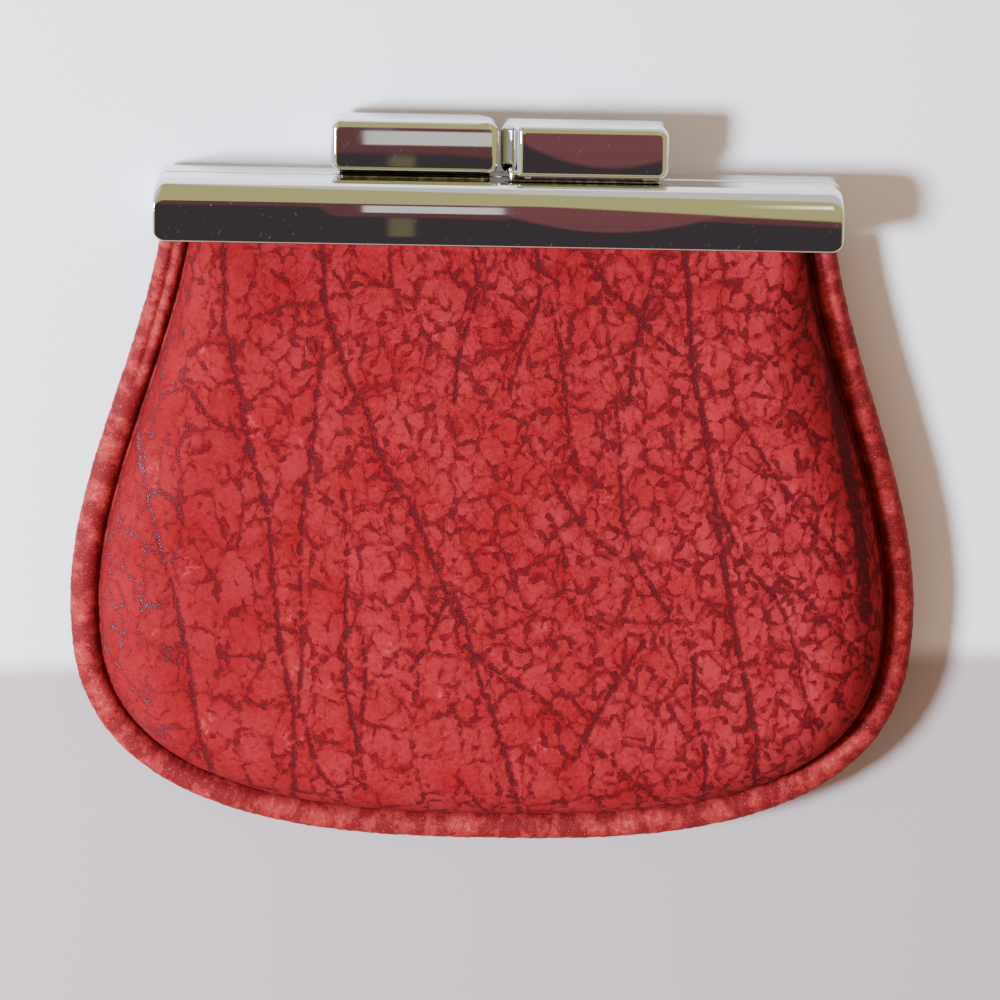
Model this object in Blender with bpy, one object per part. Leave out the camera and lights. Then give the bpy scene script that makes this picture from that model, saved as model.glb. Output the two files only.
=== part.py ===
"""Coin purse: a padded red leather pouch on a chromed snap frame, lying on its back.

X runs along the frame's bars, +Y towards the clasp and +Z out of the front face. Lengths are in
metres. The origin is on the surface that the purse lies on, under the middle of its outline. The
front bar, its arms and the right clasp block open together about the two rivets.
"""

import math

import bmesh
import bpy
import numpy as np

# Clearances
CLEARANCE = 0.0003
BORE_CLEARANCE = 0.00015
BAR_PARTING = 0.0004
OVERRUN = 0.001

# Frame bars
BAR_LENGTH = 0.0846
BAR_HEIGHT = 0.0077
BAR_DEPTH = 0.006
BAR_WALL = 0.0008
BAR_TOP_ROUND = 0.0024
BAR_EDGE_ROUND = 0.0003
BAR_CORNER_ROUND = 0.0015
BAR_END_EDGE = 0.0002
TUCK_DEPTH = 0.0042

# Clasp blocks
BLOCK_LENGTH = 0.0206
BLOCK_HEIGHT = 0.0065
BLOCK_DEPTH = 0.006
BLOCK_OFFSET = 0.0011
BLOCK_EDGE_ROUND = 0.0008
BLOCK_CORNER_ROUND = 0.0013
NOSE_RUN = 0.0026
NOSE_CUT = 0.0032
FOOT_HEIGHT = 0.0006
FOOT_DEPTH = 0.0032
FOOT_SET_BACK = 0.001
FOOT_CORNER = 0.00035
STUD_RADIUS = 0.0009
STUD_REACH = 0.0018
STUD_SPACING = 0.012

# Arms and rivets
HINGE_DROP = 0.015
ARM_THICKNESS = 0.001
ARM_WIDTH = 0.003
ARM_EYE_RADIUS = 0.0018
ARM_INNER_X = 0.031
TONGUE_WIDTH = 0.0013
TONGUE_REACH = 0.0045
RIVET_RADIUS = 0.0009
RIVET_HEAD_RADIUS = 0.0015
RIVET_HEAD_HEIGHT = 0.0006
PAPER_CORD_RADIUS = 0.00065
PAPER_CORD_REACH = 0.0295

# Outline of the pouch
BODY_WIDTH = 0.106
BODY_HEIGHT = 0.0775
MOUTH_WIDTH = 0.0834
WIDEST_DROP = 0.0462
CORNER_POWER_SHARE = 2.7
SIDE_EASE_SHARE = 0.5
SIDE_POWER_SHARE = 1.5

# Leather, foam and lining
FRONT_CROWN = 0.0096
REAR_CROWN = 0.0084
CROWN_SAG_SHARE = 0.14
CROWN_RISE = 0.014
CROWN_RISE_POWER_SHARE = 1.3
SHOULDER_AT_BAR = 0.0032
SHOULDER_IN_BODY = 0.0085
SHOULDER_LEAST = 0.0012
LEATHER_THICKNESS = 0.0012
FOAM_THICKNESS = 0.0014
LINING_THICKNESS = 0.0006
FOLD_DROP = 0.0015
FOAM_DROP = 0.013
RAMP_DROP = 0.003
LINING_RAMP = 0.0045

# Piping round the seam
PIPING_RADIUS = 0.0018
PIPING_BORE = 0.0012
PIPING_CORD_RADIUS = 0.0009
SEAM_THICKNESS = 0.0008
SEAM_REACH = 0.003

# Counts
ROUND_SEGMENTS = 4
HOLE_SEGMENTS = 16
PANEL_COLUMNS = 22
PANEL_ROWS = 14
STRIP_ROWS = 5
PIPING_STATIONS = 52
PIPING_TOP_STATIONS = 7
PIPING_SIDES = 12
PIPING_CORD_SIDES = 8
NOSE_STEPS = 3
SIDE_POINTS = 160
ROUND_POINTS = 401
EDGE_POINTS = 500
CORNER_SHARE = 0.33
SPREAD_SHARE = 0.55

# Places that follow from the sizes above
MIDDLE = BAR_DEPTH + BAR_PARTING / 2
OVERALL_HEIGHT = BODY_HEIGHT + BAR_HEIGHT + FOOT_HEIGHT + BLOCK_HEIGHT
BODY_BOTTOM = -OVERALL_HEIGHT / 2
BAR_BOTTOM = BODY_BOTTOM + BODY_HEIGHT
BAR_TOP = BAR_BOTTOM + BAR_HEIGHT
HINGE_Y = BAR_BOTTOM - HINGE_DROP
FOLD_Y = HINGE_Y - FOLD_DROP
FOAM_Y = HINGE_Y - FOAM_DROP
TUCK_Y = BAR_BOTTOM + TUCK_DEPTH
BAR_INNER_FACE = BAR_PARTING / 2
CHANNEL_NEAR = BAR_INNER_FACE + BAR_WALL
CHANNEL_FAR = BAR_INNER_FACE + BAR_DEPTH - BAR_WALL
TONGUE_MIDDLE = CHANNEL_NEAR + CLEARANCE + TONGUE_WIDTH / 2
CROWN_AT_BAR = CHANNEL_FAR - CLEARANCE
RIM_INSET = 2 * PIPING_RADIUS + CLEARANCE
RIM_AT_BAR = CHANNEL_NEAR + CLEARANCE
RIM_IN_BODY = SEAM_THICKNESS / 2 + CLEARANCE
FOAM_START = LEATHER_THICKNESS + CLEARANCE
LINING_START_TOP = LEATHER_THICKNESS + CLEARANCE
LINING_START_LOW = FOAM_START + FOAM_THICKNESS + CLEARANCE

FRONT, REAR = 1, -1
LEFT, RIGHT = -1, 1


def clear_scene():
    for obj in list(bpy.data.objects):
        bpy.data.objects.remove(obj, do_unlink=True)


def finish(name, colour, roughness, metallic):
    material = bpy.data.materials.new(name)
    material.use_nodes = True
    shader = material.node_tree.nodes["Principled BSDF"]
    shader.inputs["Base Color"].default_value = (*colour, 1)
    shader.inputs["Roughness"].default_value = roughness
    shader.inputs["Metallic"].default_value = metallic
    return material


def add_object(name, bm, material, smooth_angle=math.radians(35)):
    bmesh.ops.recalc_face_normals(bm, faces=bm.faces)
    mesh = bpy.data.meshes.new(name)
    bm.to_mesh(mesh)
    bm.free()
    mesh.shade_smooth()
    mesh.set_sharp_from_angle(angle=smooth_angle)
    mesh.materials.append(material)
    obj = bpy.data.objects.new(name, mesh)
    bpy.context.scene.collection.objects.link(obj)
    return obj


def hold_at_hinge(obj, pivot):
    """Parents a moving piece to the empty on the joint's axis, with the piece where it is."""
    obj.parent = pivot
    obj.matrix_parent_inverse = pivot.matrix_world.inverted()


def carve(obj, cutter, operation="DIFFERENCE"):
    modifier = obj.modifiers.new(cutter.name, "BOOLEAN")
    modifier.operation = operation
    modifier.object = cutter
    modifier.solver = "EXACT"
    cutter.hide_render = True
    cutter.display_type = "WIRE"


def skin(bm, rings, closed_ends=True):
    """Joins rings of as many points each into a tube, with a face over each end."""
    loops = [[bm.verts.new(point) for point in ring] for ring in rings]
    for first, second in zip(loops, loops[1:]):
        for i in range(len(first)):
            j = (i + 1) % len(first)
            bm.faces.new((first[i], first[j], second[j], second[i]))
    if closed_ends:
        bm.faces.new(list(reversed(loops[0])))
        bm.faces.new(loops[-1])
    return loops


def rounded_rectangle(low, high, radii, inset_y=0.0, inset_z=0.0):
    """Points round a rectangle whose four corners have their own radii, drawn in by two insets.

    Corners run from (low, low) counter-clockwise.
    """
    (y0, z0), (y1, z1) = low, high
    y0, z0, y1, z1 = y0 + inset_y, z0 + inset_z, y1 - inset_y, z1 - inset_z
    corners = [(y0, z0, 1, 1), (y1, z0, -1, 1), (y1, z1, -1, -1), (y0, z1, 1, -1)]
    points = []
    for k, (y, z, along_y, along_z) in enumerate(corners):
        radius = radii[k]
        start = math.pi + k * math.pi / 2
        for i in range(ROUND_SEGMENTS + 1):
            angle = start + i * math.pi / 2 / ROUND_SEGMENTS
            points.append(
                (
                    y + along_y * radius + radius * math.cos(angle),
                    z + along_z * radius + radius * math.sin(angle),
                )
            )
    return points


def end_stations(half_length, end_round):
    """(x, inset) from one end of a bar to the other, where both ends are rounded over."""
    steps = [i * math.pi / 2 / ROUND_SEGMENTS for i in range(ROUND_SEGMENTS + 1)]
    right = [
        (half_length - end_round + end_round * math.sin(a), end_round * (1 - math.cos(a)))
        for a in steps
    ]
    left = [(-x, inset) for x, inset in reversed(right)]
    return left + right


def edge_inset(from_end, edge_round):
    """How far a small rounding draws a face in, at a distance from the end it runs round."""
    within = edge_round - min(from_end, edge_round)
    return edge_round - math.sqrt(edge_round * edge_round - within * within)


def rounded_bar(bm, half_length, corner_round, end_edge, low, high, radii):
    """A bar along X: seen from its front its corners are round, and its end faces are nearly flat."""
    rings = []
    for x, inset in end_stations(half_length, corner_round):
        face_inset = edge_inset(half_length - abs(x), end_edge) if end_edge else 0.0
        section = rounded_rectangle(low, high, radii, inset, face_inset)
        rings.append([(x, y, z) for y, z in section])
    skin(bm, rings)


def cylinder(bm, radius, start, end, segments=HOLE_SEGMENTS):
    """A cylinder along X or Y between two points, wide enough to hold the round of its radius."""
    start, end = np.array(start), np.array(end)
    along = (end - start) / np.linalg.norm(end - start)
    across = np.cross(along, (0, 0, 1))
    upward = np.cross(across, along)
    angles = np.arange(segments) * 2 * math.pi / segments
    ring = radius * (np.outer(np.cos(angles), across) + np.outer(np.sin(angles), upward))
    skin(bm, [ring + start, ring + end])


# Frame bars: pressed channels of chromed steel, open downwards, that grip the leather's edge

def bar_levels(side, near, far):
    """The lowest and highest z between two distances from the parting plane, on one side."""
    levels = (MIDDLE + side * near, MIDDLE + side * far)
    return min(levels), max(levels)


def make_bar(name, side, block_middle_x, material):
    z0, z1 = bar_levels(side, BAR_INNER_FACE, BAR_INNER_FACE + BAR_DEPTH)
    edge, crown = BAR_EDGE_ROUND, BAR_TOP_ROUND
    radii = (edge, edge, crown, edge) if side == FRONT else (edge, crown, edge, edge)
    bm = bmesh.new()
    rounded_bar(
        bm,
        BAR_LENGTH / 2,
        BAR_CORNER_ROUND,
        BAR_END_EDGE,
        (BAR_BOTTOM, z0),
        (BAR_TOP, z1),
        radii,
    )
    bar = add_object(name, bm, material)

    z0, z1 = bar_levels(side, CHANNEL_NEAR, CHANNEL_FAR)
    hollow_round = BAR_TOP_ROUND - BAR_WALL
    corner = BAR_EDGE_ROUND / 2
    radii = (corner, corner, hollow_round, corner)
    if side == REAR:
        radii = (corner, hollow_round, corner, corner)
    bm = bmesh.new()
    rounded_bar(
        bm,
        BAR_LENGTH / 2 - BAR_WALL,
        BAR_CORNER_ROUND - BAR_WALL,
        0.0,
        (BAR_BOTTOM - OVERRUN, z0),
        (BAR_TOP - BAR_WALL, z1),
        radii,
    )
    carve(bar, add_object(name + "_channel_cutter", bm, material))

    bm = bmesh.new()
    for x in stud_places(block_middle_x):
        z = foot_middle(side)
        low = BAR_TOP - BAR_WALL - OVERRUN
        cylinder(bm, STUD_RADIUS + CLEARANCE, (x, low, z), (x, BAR_TOP + OVERRUN, z))
    carve(bar, add_object(name + "_stud_cutter", bm, material))
    return bar


# Clasp blocks: cushion-shaped, side by side over the bars, each riveted to its own bar

def block_middle(hand):
    return hand * (CLEARANCE / 2 + BLOCK_LENGTH / 2)


def stud_places(middle_x):
    return (middle_x - STUD_SPACING / 2, middle_x + STUD_SPACING / 2)


def foot_middle(side):
    """The foot stands on the flat of its bar's top, clear of the parting plane."""
    return MIDDLE + side * (BAR_INNER_FACE + BAR_EDGE_ROUND + FOOT_DEPTH / 2)


def block_half_rings(inset, hand):
    """(x, half height) along a block's face drawn in by an inset: round corners, and more
    stations over the nose."""
    half_length, half_height = BLOCK_LENGTH / 2 - inset, BLOCK_HEIGHT / 2 - inset
    radius = BLOCK_CORNER_ROUND - inset
    stations = []
    for x, drop in end_stations(half_length, radius):
        stations.append((x, half_height - drop))
    for i in range(NOSE_STEPS - 1):
        x = -hand * (BLOCK_LENGTH / 2 - NOSE_RUN * (NOSE_STEPS - i) / NOSE_STEPS)
        stations.append((x, half_height))
    return sorted(stations)


def make_block(name, hand, side, material):
    """hand is the side of the middle that it lies on, side the bar that carries it."""
    middle_x = block_middle(hand)
    middle_z = MIDDLE + side * BLOCK_OFFSET
    low_y = BAR_TOP + FOOT_HEIGHT
    middle_y = low_y + BLOCK_HEIGHT / 2
    rings = []
    for level, inset in end_stations(BLOCK_DEPTH / 2, BLOCK_EDGE_ROUND):
        outward = (side * level / (BLOCK_DEPTH / 2) + 1) / 2
        lower, upper = [], []
        for x, half_height in block_half_rings(inset, hand):
            from_nose = BLOCK_LENGTH / 2 + hand * x
            cut = NOSE_CUT * smooth_step(1 - from_nose / NOSE_RUN)
            z = middle_z + level - side * cut * outward
            lower.append((middle_x + x, middle_y - half_height, z))
            upper.append((middle_x + x, middle_y + half_height, z))
        rings.append(lower + upper[::-1])
    bm = bmesh.new()
    loops = skin(bm, rings, closed_ends=False)
    for loop in (loops[0], loops[-1]):
        for i in range(len(loop) // 2 - 1):
            bm.faces.new((loop[i], loop[i + 1], loop[-i - 2], loop[-i - 1]))
    block = add_object(name, bm, material)

    bm = bmesh.new()
    half_foot = BLOCK_LENGTH / 2 - FOOT_SET_BACK
    z = foot_middle(side)
    rings = []
    for x in (middle_x - half_foot, middle_x + half_foot):
        section = rounded_rectangle(
            (BAR_TOP + CLEARANCE, z - FOOT_DEPTH / 2),
            (low_y + BLOCK_EDGE_ROUND, z + FOOT_DEPTH / 2),
            (FOOT_CORNER,) * 4,
        )
        rings.append([(x, y, level) for y, level in section])
    skin(bm, rings)
    carve(block, add_object(name + "_foot", bm, material), "UNION")

    bm = bmesh.new()
    for x in stud_places(middle_x):
        cylinder(bm, STUD_RADIUS, (x, BAR_TOP - STUD_REACH, z), (x, low_y + BLOCK_EDGE_ROUND / 4, z))
    carve(block, add_object(name + "_studs", bm, material), "UNION")
    return block


# Arms: flat strips that go up into the bars' channels, riveted in pairs at the hinge

def arm_outline(side):
    """(y, z) round an arm: its tongue in the channel, its shoulder under the bar, its eye."""
    shoulder = BAR_BOTTOM - CLEARANCE
    top = BAR_BOTTOM + TONGUE_REACH
    across = TONGUE_MIDDLE
    points = [
        (top, across - TONGUE_WIDTH / 2),
        (top, across + TONGUE_WIDTH / 2),
    ]
    for i in range(2 * ROUND_SEGMENTS + 1):
        angle = math.pi / 2 + i * math.pi / 2 / ROUND_SEGMENTS
        points.append(
            (HINGE_Y + ARM_EYE_RADIUS * math.cos(angle), ARM_EYE_RADIUS * math.sin(angle))
        )
    points.append((shoulder, across + TONGUE_WIDTH / 2 - ARM_WIDTH))
    points.append((shoulder, across - TONGUE_WIDTH / 2))
    return [(y, MIDDLE + side * z) for y, z in points]


def arm_reach(side):
    """Distances from the middle of the purse between which an arm lies, front arms inmost."""
    start = ARM_INNER_X if side == FRONT else ARM_INNER_X + ARM_THICKNESS + CLEARANCE
    return start, start + ARM_THICKNESS


def make_arm(name, hand, side, material):
    bm = bmesh.new()
    rings = [[(hand * x, y, z) for y, z in arm_outline(side)] for x in arm_reach(side)]
    skin(bm, rings)
    arm = add_object(name, bm, material)
    bm = bmesh.new()
    near, far = arm_reach(side)
    cylinder(
        bm,
        RIVET_RADIUS + BORE_CLEARANCE,
        (hand * (near - OVERRUN), HINGE_Y, MIDDLE),
        (hand * (far + OVERRUN), HINGE_Y, MIDDLE),
    )
    carve(arm, add_object(name + "_hole_cutter", bm, material))
    return arm


def make_rivet(name, hand, material):
    """One shank with a domed head beyond each of the two arms."""
    first = arm_reach(FRONT)[0] - CLEARANCE
    last = arm_reach(REAR)[1] + CLEARANCE
    dome = RIVET_HEAD_HEIGHT / 2
    profile = [
        (first - RIVET_HEAD_HEIGHT, RIVET_HEAD_RADIUS - dome),
        (first - dome, RIVET_HEAD_RADIUS),
        (first, RIVET_HEAD_RADIUS),
        (first, RIVET_RADIUS),
        (last, RIVET_RADIUS),
        (last, RIVET_HEAD_RADIUS),
        (last + dome, RIVET_HEAD_RADIUS),
        (last + RIVET_HEAD_HEIGHT, RIVET_HEAD_RADIUS - dome),
    ]
    angles = [i * 2 * math.pi / HOLE_SEGMENTS for i in range(HOLE_SEGMENTS)]
    rings = [
        [
            (hand * x, HINGE_Y + r * math.cos(a), MIDDLE + r * math.sin(a))
            for a in angles
        ]
        for x, r in profile
    ]
    bm = bmesh.new()
    skin(bm, rings)
    return add_object(name, bm, material)


def make_paper_cord(name, side, material):
    """Twisted paper cord that wedges the leather's edge in the channel, between the arms."""
    y = BAR_BOTTOM + TUCK_DEPTH / 2
    z = MIDDLE + side * (CHANNEL_NEAR + CLEARANCE + PAPER_CORD_RADIUS)
    bm = bmesh.new()
    ends = [(-PAPER_CORD_REACH, y, z), (PAPER_CORD_REACH, y, z)]
    cylinder(bm, PAPER_CORD_RADIUS, *ends, segments=PIPING_SIDES)
    return add_object(name, bm, material)


# Outline of the pouch

def smooth_step(share):
    share = np.clip(share, 0, 1)
    return share * share * (3 - 2 * share)


def side_half_width(y):
    """Half the pouch's width above its widest line, where the sides lean in to the frame."""
    share = np.clip(
        (y - (BAR_BOTTOM - WIDEST_DROP)) / WIDEST_DROP, 0, 1
    )
    eased = (1 - np.cos(math.pi * share)) / 2
    lean = SIDE_EASE_SHARE * eased + (1 - SIDE_EASE_SHARE) * share**SIDE_POWER_SHARE
    return (BODY_WIDTH - (BODY_WIDTH - MOUTH_WIDTH) * lean) / 2


def outer_edge():
    """The piping's outer edge, from the top left corner down and round to the top right."""
    widest_y = BAR_BOTTOM - WIDEST_DROP
    side_y = np.linspace(BAR_TOP, widest_y, SIDE_POINTS)[:-1]
    left = np.stack([-side_half_width(side_y), side_y], axis=1)
    angle = np.linspace(0, math.pi, ROUND_POINTS)
    power = 2 / CORNER_POWER_SHARE
    across = -np.sign(np.cos(angle)) * np.abs(np.cos(angle)) ** power * BODY_WIDTH / 2
    below = np.abs(np.sin(angle)) ** power * (widest_y - BODY_BOTTOM)
    bottom = np.stack([across, widest_y - below], axis=1)
    right = left[::-1] * (-1, 1)
    return np.concatenate([left, bottom, right])


def spaced(line, count):
    """As many points as asked, evenly along a line."""
    steps = np.linalg.norm(np.diff(line, axis=0), axis=1)
    length = np.concatenate([[0], np.cumsum(steps)])
    at = np.linspace(0, length[-1], count)
    return np.stack([np.interp(at, length, line[:, k]) for k in (0, 1)], axis=1)


def lining_share(y):
    """0 beside and above the hinge, 1 further down, where the lining lies over the foam."""
    return smooth_step((HINGE_Y - RAMP_DROP - y) / LINING_RAMP)


def depth_under_leather(y, start_top, start_low):
    return start_top + (start_low - start_top) * lining_share(y)


def inset_edge(start_top, start_low):
    """The edge line of a layer whose distances from the leather's outer face are given."""
    line = spaced(outer_edge(), EDGE_POINTS)
    along = np.gradient(line, axis=0)
    along /= np.linalg.norm(along, axis=1)[:, None]
    inward = np.stack([-along[:, 1], along[:, 0]], axis=1)
    inset = depth_under_leather(line[:, 1], start_top, start_low)
    return line + inward * inset[:, None]


def below(line, y):
    """The stretch of an edge line under a level, with its ends on that level."""
    keep = np.flatnonzero(line[:, 1] < y)
    first, last = keep[0], keep[-1]
    start = crossing(line[first - 1], line[first], y)
    end = crossing(line[last], line[last + 1], y)
    return np.concatenate([[start], line[first : last + 1], [end]])


def crossing(a, b, y):
    share = (y - a[1]) / (b[1] - a[1])
    return a + share * (b - a)


def distance_to(line, points):
    """Least distance from each point to a line's segments."""
    start, step = line[:-1], np.diff(line, axis=0)
    offset = points[:, None, :] - start[None]
    share = np.clip((offset * step).sum(-1) / (step * step).sum(-1), 0, 1)
    nearest = offset - share[..., None] * step
    return np.sqrt((nearest * nearest).sum(-1)).min(axis=1)


# Leather, foam and lining: crowned sheets whose edges turn down to the seam

def rise_below_bar(y):
    share = np.clip((BAR_BOTTOM - CLEARANCE - y) / CROWN_RISE, 0, 1)
    return np.sin(share * math.pi / 2) ** CROWN_RISE_POWER_SHARE


def crown_height(side, x, y):
    """How far the leather's outer face stands off the middle plane, away from its edges."""
    full = FRONT_CROWN if side == FRONT else REAR_CROWN
    sag = 1 - CROWN_SAG_SHARE * (2 * x / BODY_WIDTH) ** 2
    return CROWN_AT_BAR + (full * sag - CROWN_AT_BAR) * rise_below_bar(y)


def layer_height(side, points, edge, start_top, start_low):
    x, y = points[:, 0], points[:, 1]
    start = depth_under_leather(y, start_top, start_low)
    rise = rise_below_bar(y)
    shoulder = SHOULDER_AT_BAR + (SHOULDER_IN_BODY - SHOULDER_AT_BAR) * rise
    shoulder = np.maximum(shoulder - start, SHOULDER_LEAST)
    share = np.clip(distance_to(edge, points) / shoulder, 0, 1)
    lift = np.sqrt(1 - (1 - share) ** 2)
    rim = RIM_AT_BAR + (RIM_IN_BODY - RIM_AT_BAR) * smooth_step(rise)
    crown = crown_height(side, x, y) - start
    height = rim + (crown - rim) * lift
    if side == REAR:
        height = np.minimum(height, MIDDLE - start)
    return height


def spread(count, both_ends):
    """Shares from 0 to 1, closer together at the edges that curve most."""
    even = np.linspace(0, 1, count + 1)
    if both_ends:
        eased = (1 - np.cos(math.pi * even)) / 2
    else:
        eased = 1 - np.cos(math.pi * even / 2)
    return even + SPREAD_SHARE * (eased - even)


def sample(line, shares):
    steps = np.linalg.norm(np.diff(line, axis=0), axis=1)
    length = np.concatenate([[0], np.cumsum(steps)])
    at = shares * length[-1]
    return np.stack([np.interp(at, length, line[:, k]) for k in (0, 1)], axis=1)


def filled_patch(bottom, top, left, right, columns, rows):
    """A grid of points inside four edge lines, blended from all of them."""
    u = spread(columns, True)
    v = spread(rows, False)
    low, high = sample(bottom, u), sample(top, u)
    near, far = sample(left, v), sample(right, v)
    u, v = u[None, :, None], v[:, None, None]
    ruled = (1 - v) * low[None] + v * high[None] + (1 - u) * near[:, None] + u * far[:, None]
    corners = (
        (1 - u) * (1 - v) * low[0]
        + u * (1 - v) * low[-1]
        + (1 - u) * v * high[0]
        + u * v * high[-1]
    )
    return ruled - corners


def layer_face(side, start_top, start_low, top_y, bottom_y, columns, rows):
    """One face of a sheet as a grid of points, from its foot or from the seam up to top_y."""
    edge = inset_edge(RIM_INSET + start_top, RIM_INSET + start_low)
    reach = below(edge, top_y)
    if bottom_y is None:
        corner = int(CORNER_SHARE * len(reach))
        left, bottom, right = reach[: corner + 1], reach[corner:-corner], reach[-corner - 1 :]
        left = left[::-1]
    else:
        lower = below(edge, bottom_y)
        left = reach[: len(reach) // 2]
        left = np.concatenate([left[left[:, 1] > bottom_y], [lower[0]]])[::-1]
        right = reach[len(reach) // 2 :]
        right = np.concatenate([[lower[-1]], right[right[:, 1] > bottom_y]])
        bottom = np.array([lower[0], lower[-1]])
    top = np.array([reach[0], reach[-1]])
    grid = filled_patch(bottom, top, left, right, columns, rows)
    points = grid.reshape(-1, 2)
    height = layer_height(side, points, edge, start_top, start_low)
    z = MIDDLE + side * height
    return np.concatenate([points, z[:, None]], axis=1).reshape(*grid.shape[:2], 3)


def make_sheet(name, side, starts, thickness, top_y, bottom_y, rows, columns, material):
    """A sheet between two faces, closed round its four edges."""
    outer = layer_face(side, *starts, top_y, bottom_y, columns, rows)
    inner_starts = [start + thickness for start in starts]
    inner = layer_face(side, *inner_starts, top_y, bottom_y, columns, rows)
    bm = bmesh.new()
    grids = []
    for face in (outer, inner):
        grid = [[bm.verts.new(point) for point in row] for row in face]
        grids.append(grid)
        for first, second in zip(grid, grid[1:]):
            for i in range(columns):
                bm.faces.new((first[i], first[i + 1], second[i + 1], second[i]))
    rims = [
        grid[0] + [row[-1] for row in grid[1:]] + grid[-1][-2::-1] + [row[0] for row in grid[-2:0:-1]]
        for grid in grids
    ]
    for i in range(len(rims[0])):
        j = (i + 1) % len(rims[0])
        bm.faces.new((rims[0][i], rims[0][j], rims[1][j], rims[1][i]))
    return add_object(name, bm, material)


# Piping: a leather tube round a cord, with a tail that the seam goes through

def piping_rings(path, outline):
    """Rings of an outline (inward, up) set square to a path in the middle plane."""
    along = np.gradient(path, axis=0)
    along /= np.linalg.norm(along, axis=1)[:, None]
    inward = np.stack([-along[:, 1], along[:, 0]], axis=1)
    rings = []
    for point, side in zip(path, inward):
        rings.append([(*(point + a * side), MIDDLE + b) for a, b in outline])
    return rings


def piping_path(top_y, bottom_y=None, hand=LEFT):
    """The tube's middle line below top_y, or on one side only, between two levels."""
    line = below(inset_edge(PIPING_RADIUS, PIPING_RADIUS), top_y)
    if bottom_y is None:
        return spaced(line, PIPING_STATIONS)
    half = line[: len(line) // 2] if hand == LEFT else line[: len(line) // 2 : -1]
    stretch = half[half[:, 1] > bottom_y]
    end = crossing(stretch[-1], half[len(stretch)], bottom_y)
    return spaced(np.concatenate([stretch, [end]]), PIPING_TOP_STATIONS)


def make_piping(name, path, hand, material):
    """The tube and its tail in one outline, with the cord's bore left open at both ends."""
    tail = SEAM_THICKNESS / 2
    lead = math.asin(tail / PIPING_RADIUS)
    angles = np.linspace(lead, 2 * math.pi - lead, PIPING_SIDES - 1)
    outline = [(PIPING_RADIUS * math.cos(a), PIPING_RADIUS * math.sin(a)) for a in angles]
    reach = PIPING_RADIUS + SEAM_REACH
    outline += [(reach, -tail), (reach, tail)]
    bore_angles = np.linspace(lead, 2 * math.pi - lead, PIPING_SIDES - 1)
    bore = [(PIPING_BORE * math.cos(a), PIPING_BORE * math.sin(a)) for a in bore_angles]
    tip = PIPING_BORE * math.cos(lead / 2)
    bore += [(tip, -PIPING_BORE * math.sin(lead / 2)), (tip, PIPING_BORE * math.sin(lead / 2))]
    if hand == RIGHT:
        outline = [(-a, b) for a, b in outline]
        bore = [(-a, b) for a, b in bore]
    bm = bmesh.new()
    outer = skin(bm, piping_rings(path, outline), closed_ends=False)
    inner = skin(bm, piping_rings(path, bore), closed_ends=False)
    for end in (0, -1):
        for i in range(len(outline)):
            j = (i + 1) % len(outline)
            bm.faces.new((outer[end][i], outer[end][j], inner[end][j], inner[end][i]))
    return add_object(name, bm, material)


def make_piping_cord(name, path, material):
    angles = [i * 2 * math.pi / PIPING_CORD_SIDES for i in range(PIPING_CORD_SIDES)]
    outline = [
        (PIPING_CORD_RADIUS * math.cos(a), PIPING_CORD_RADIUS * math.sin(a)) for a in angles
    ]
    bm = bmesh.new()
    skin(bm, piping_rings(path, outline))
    return add_object(name, bm, material)


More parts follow.
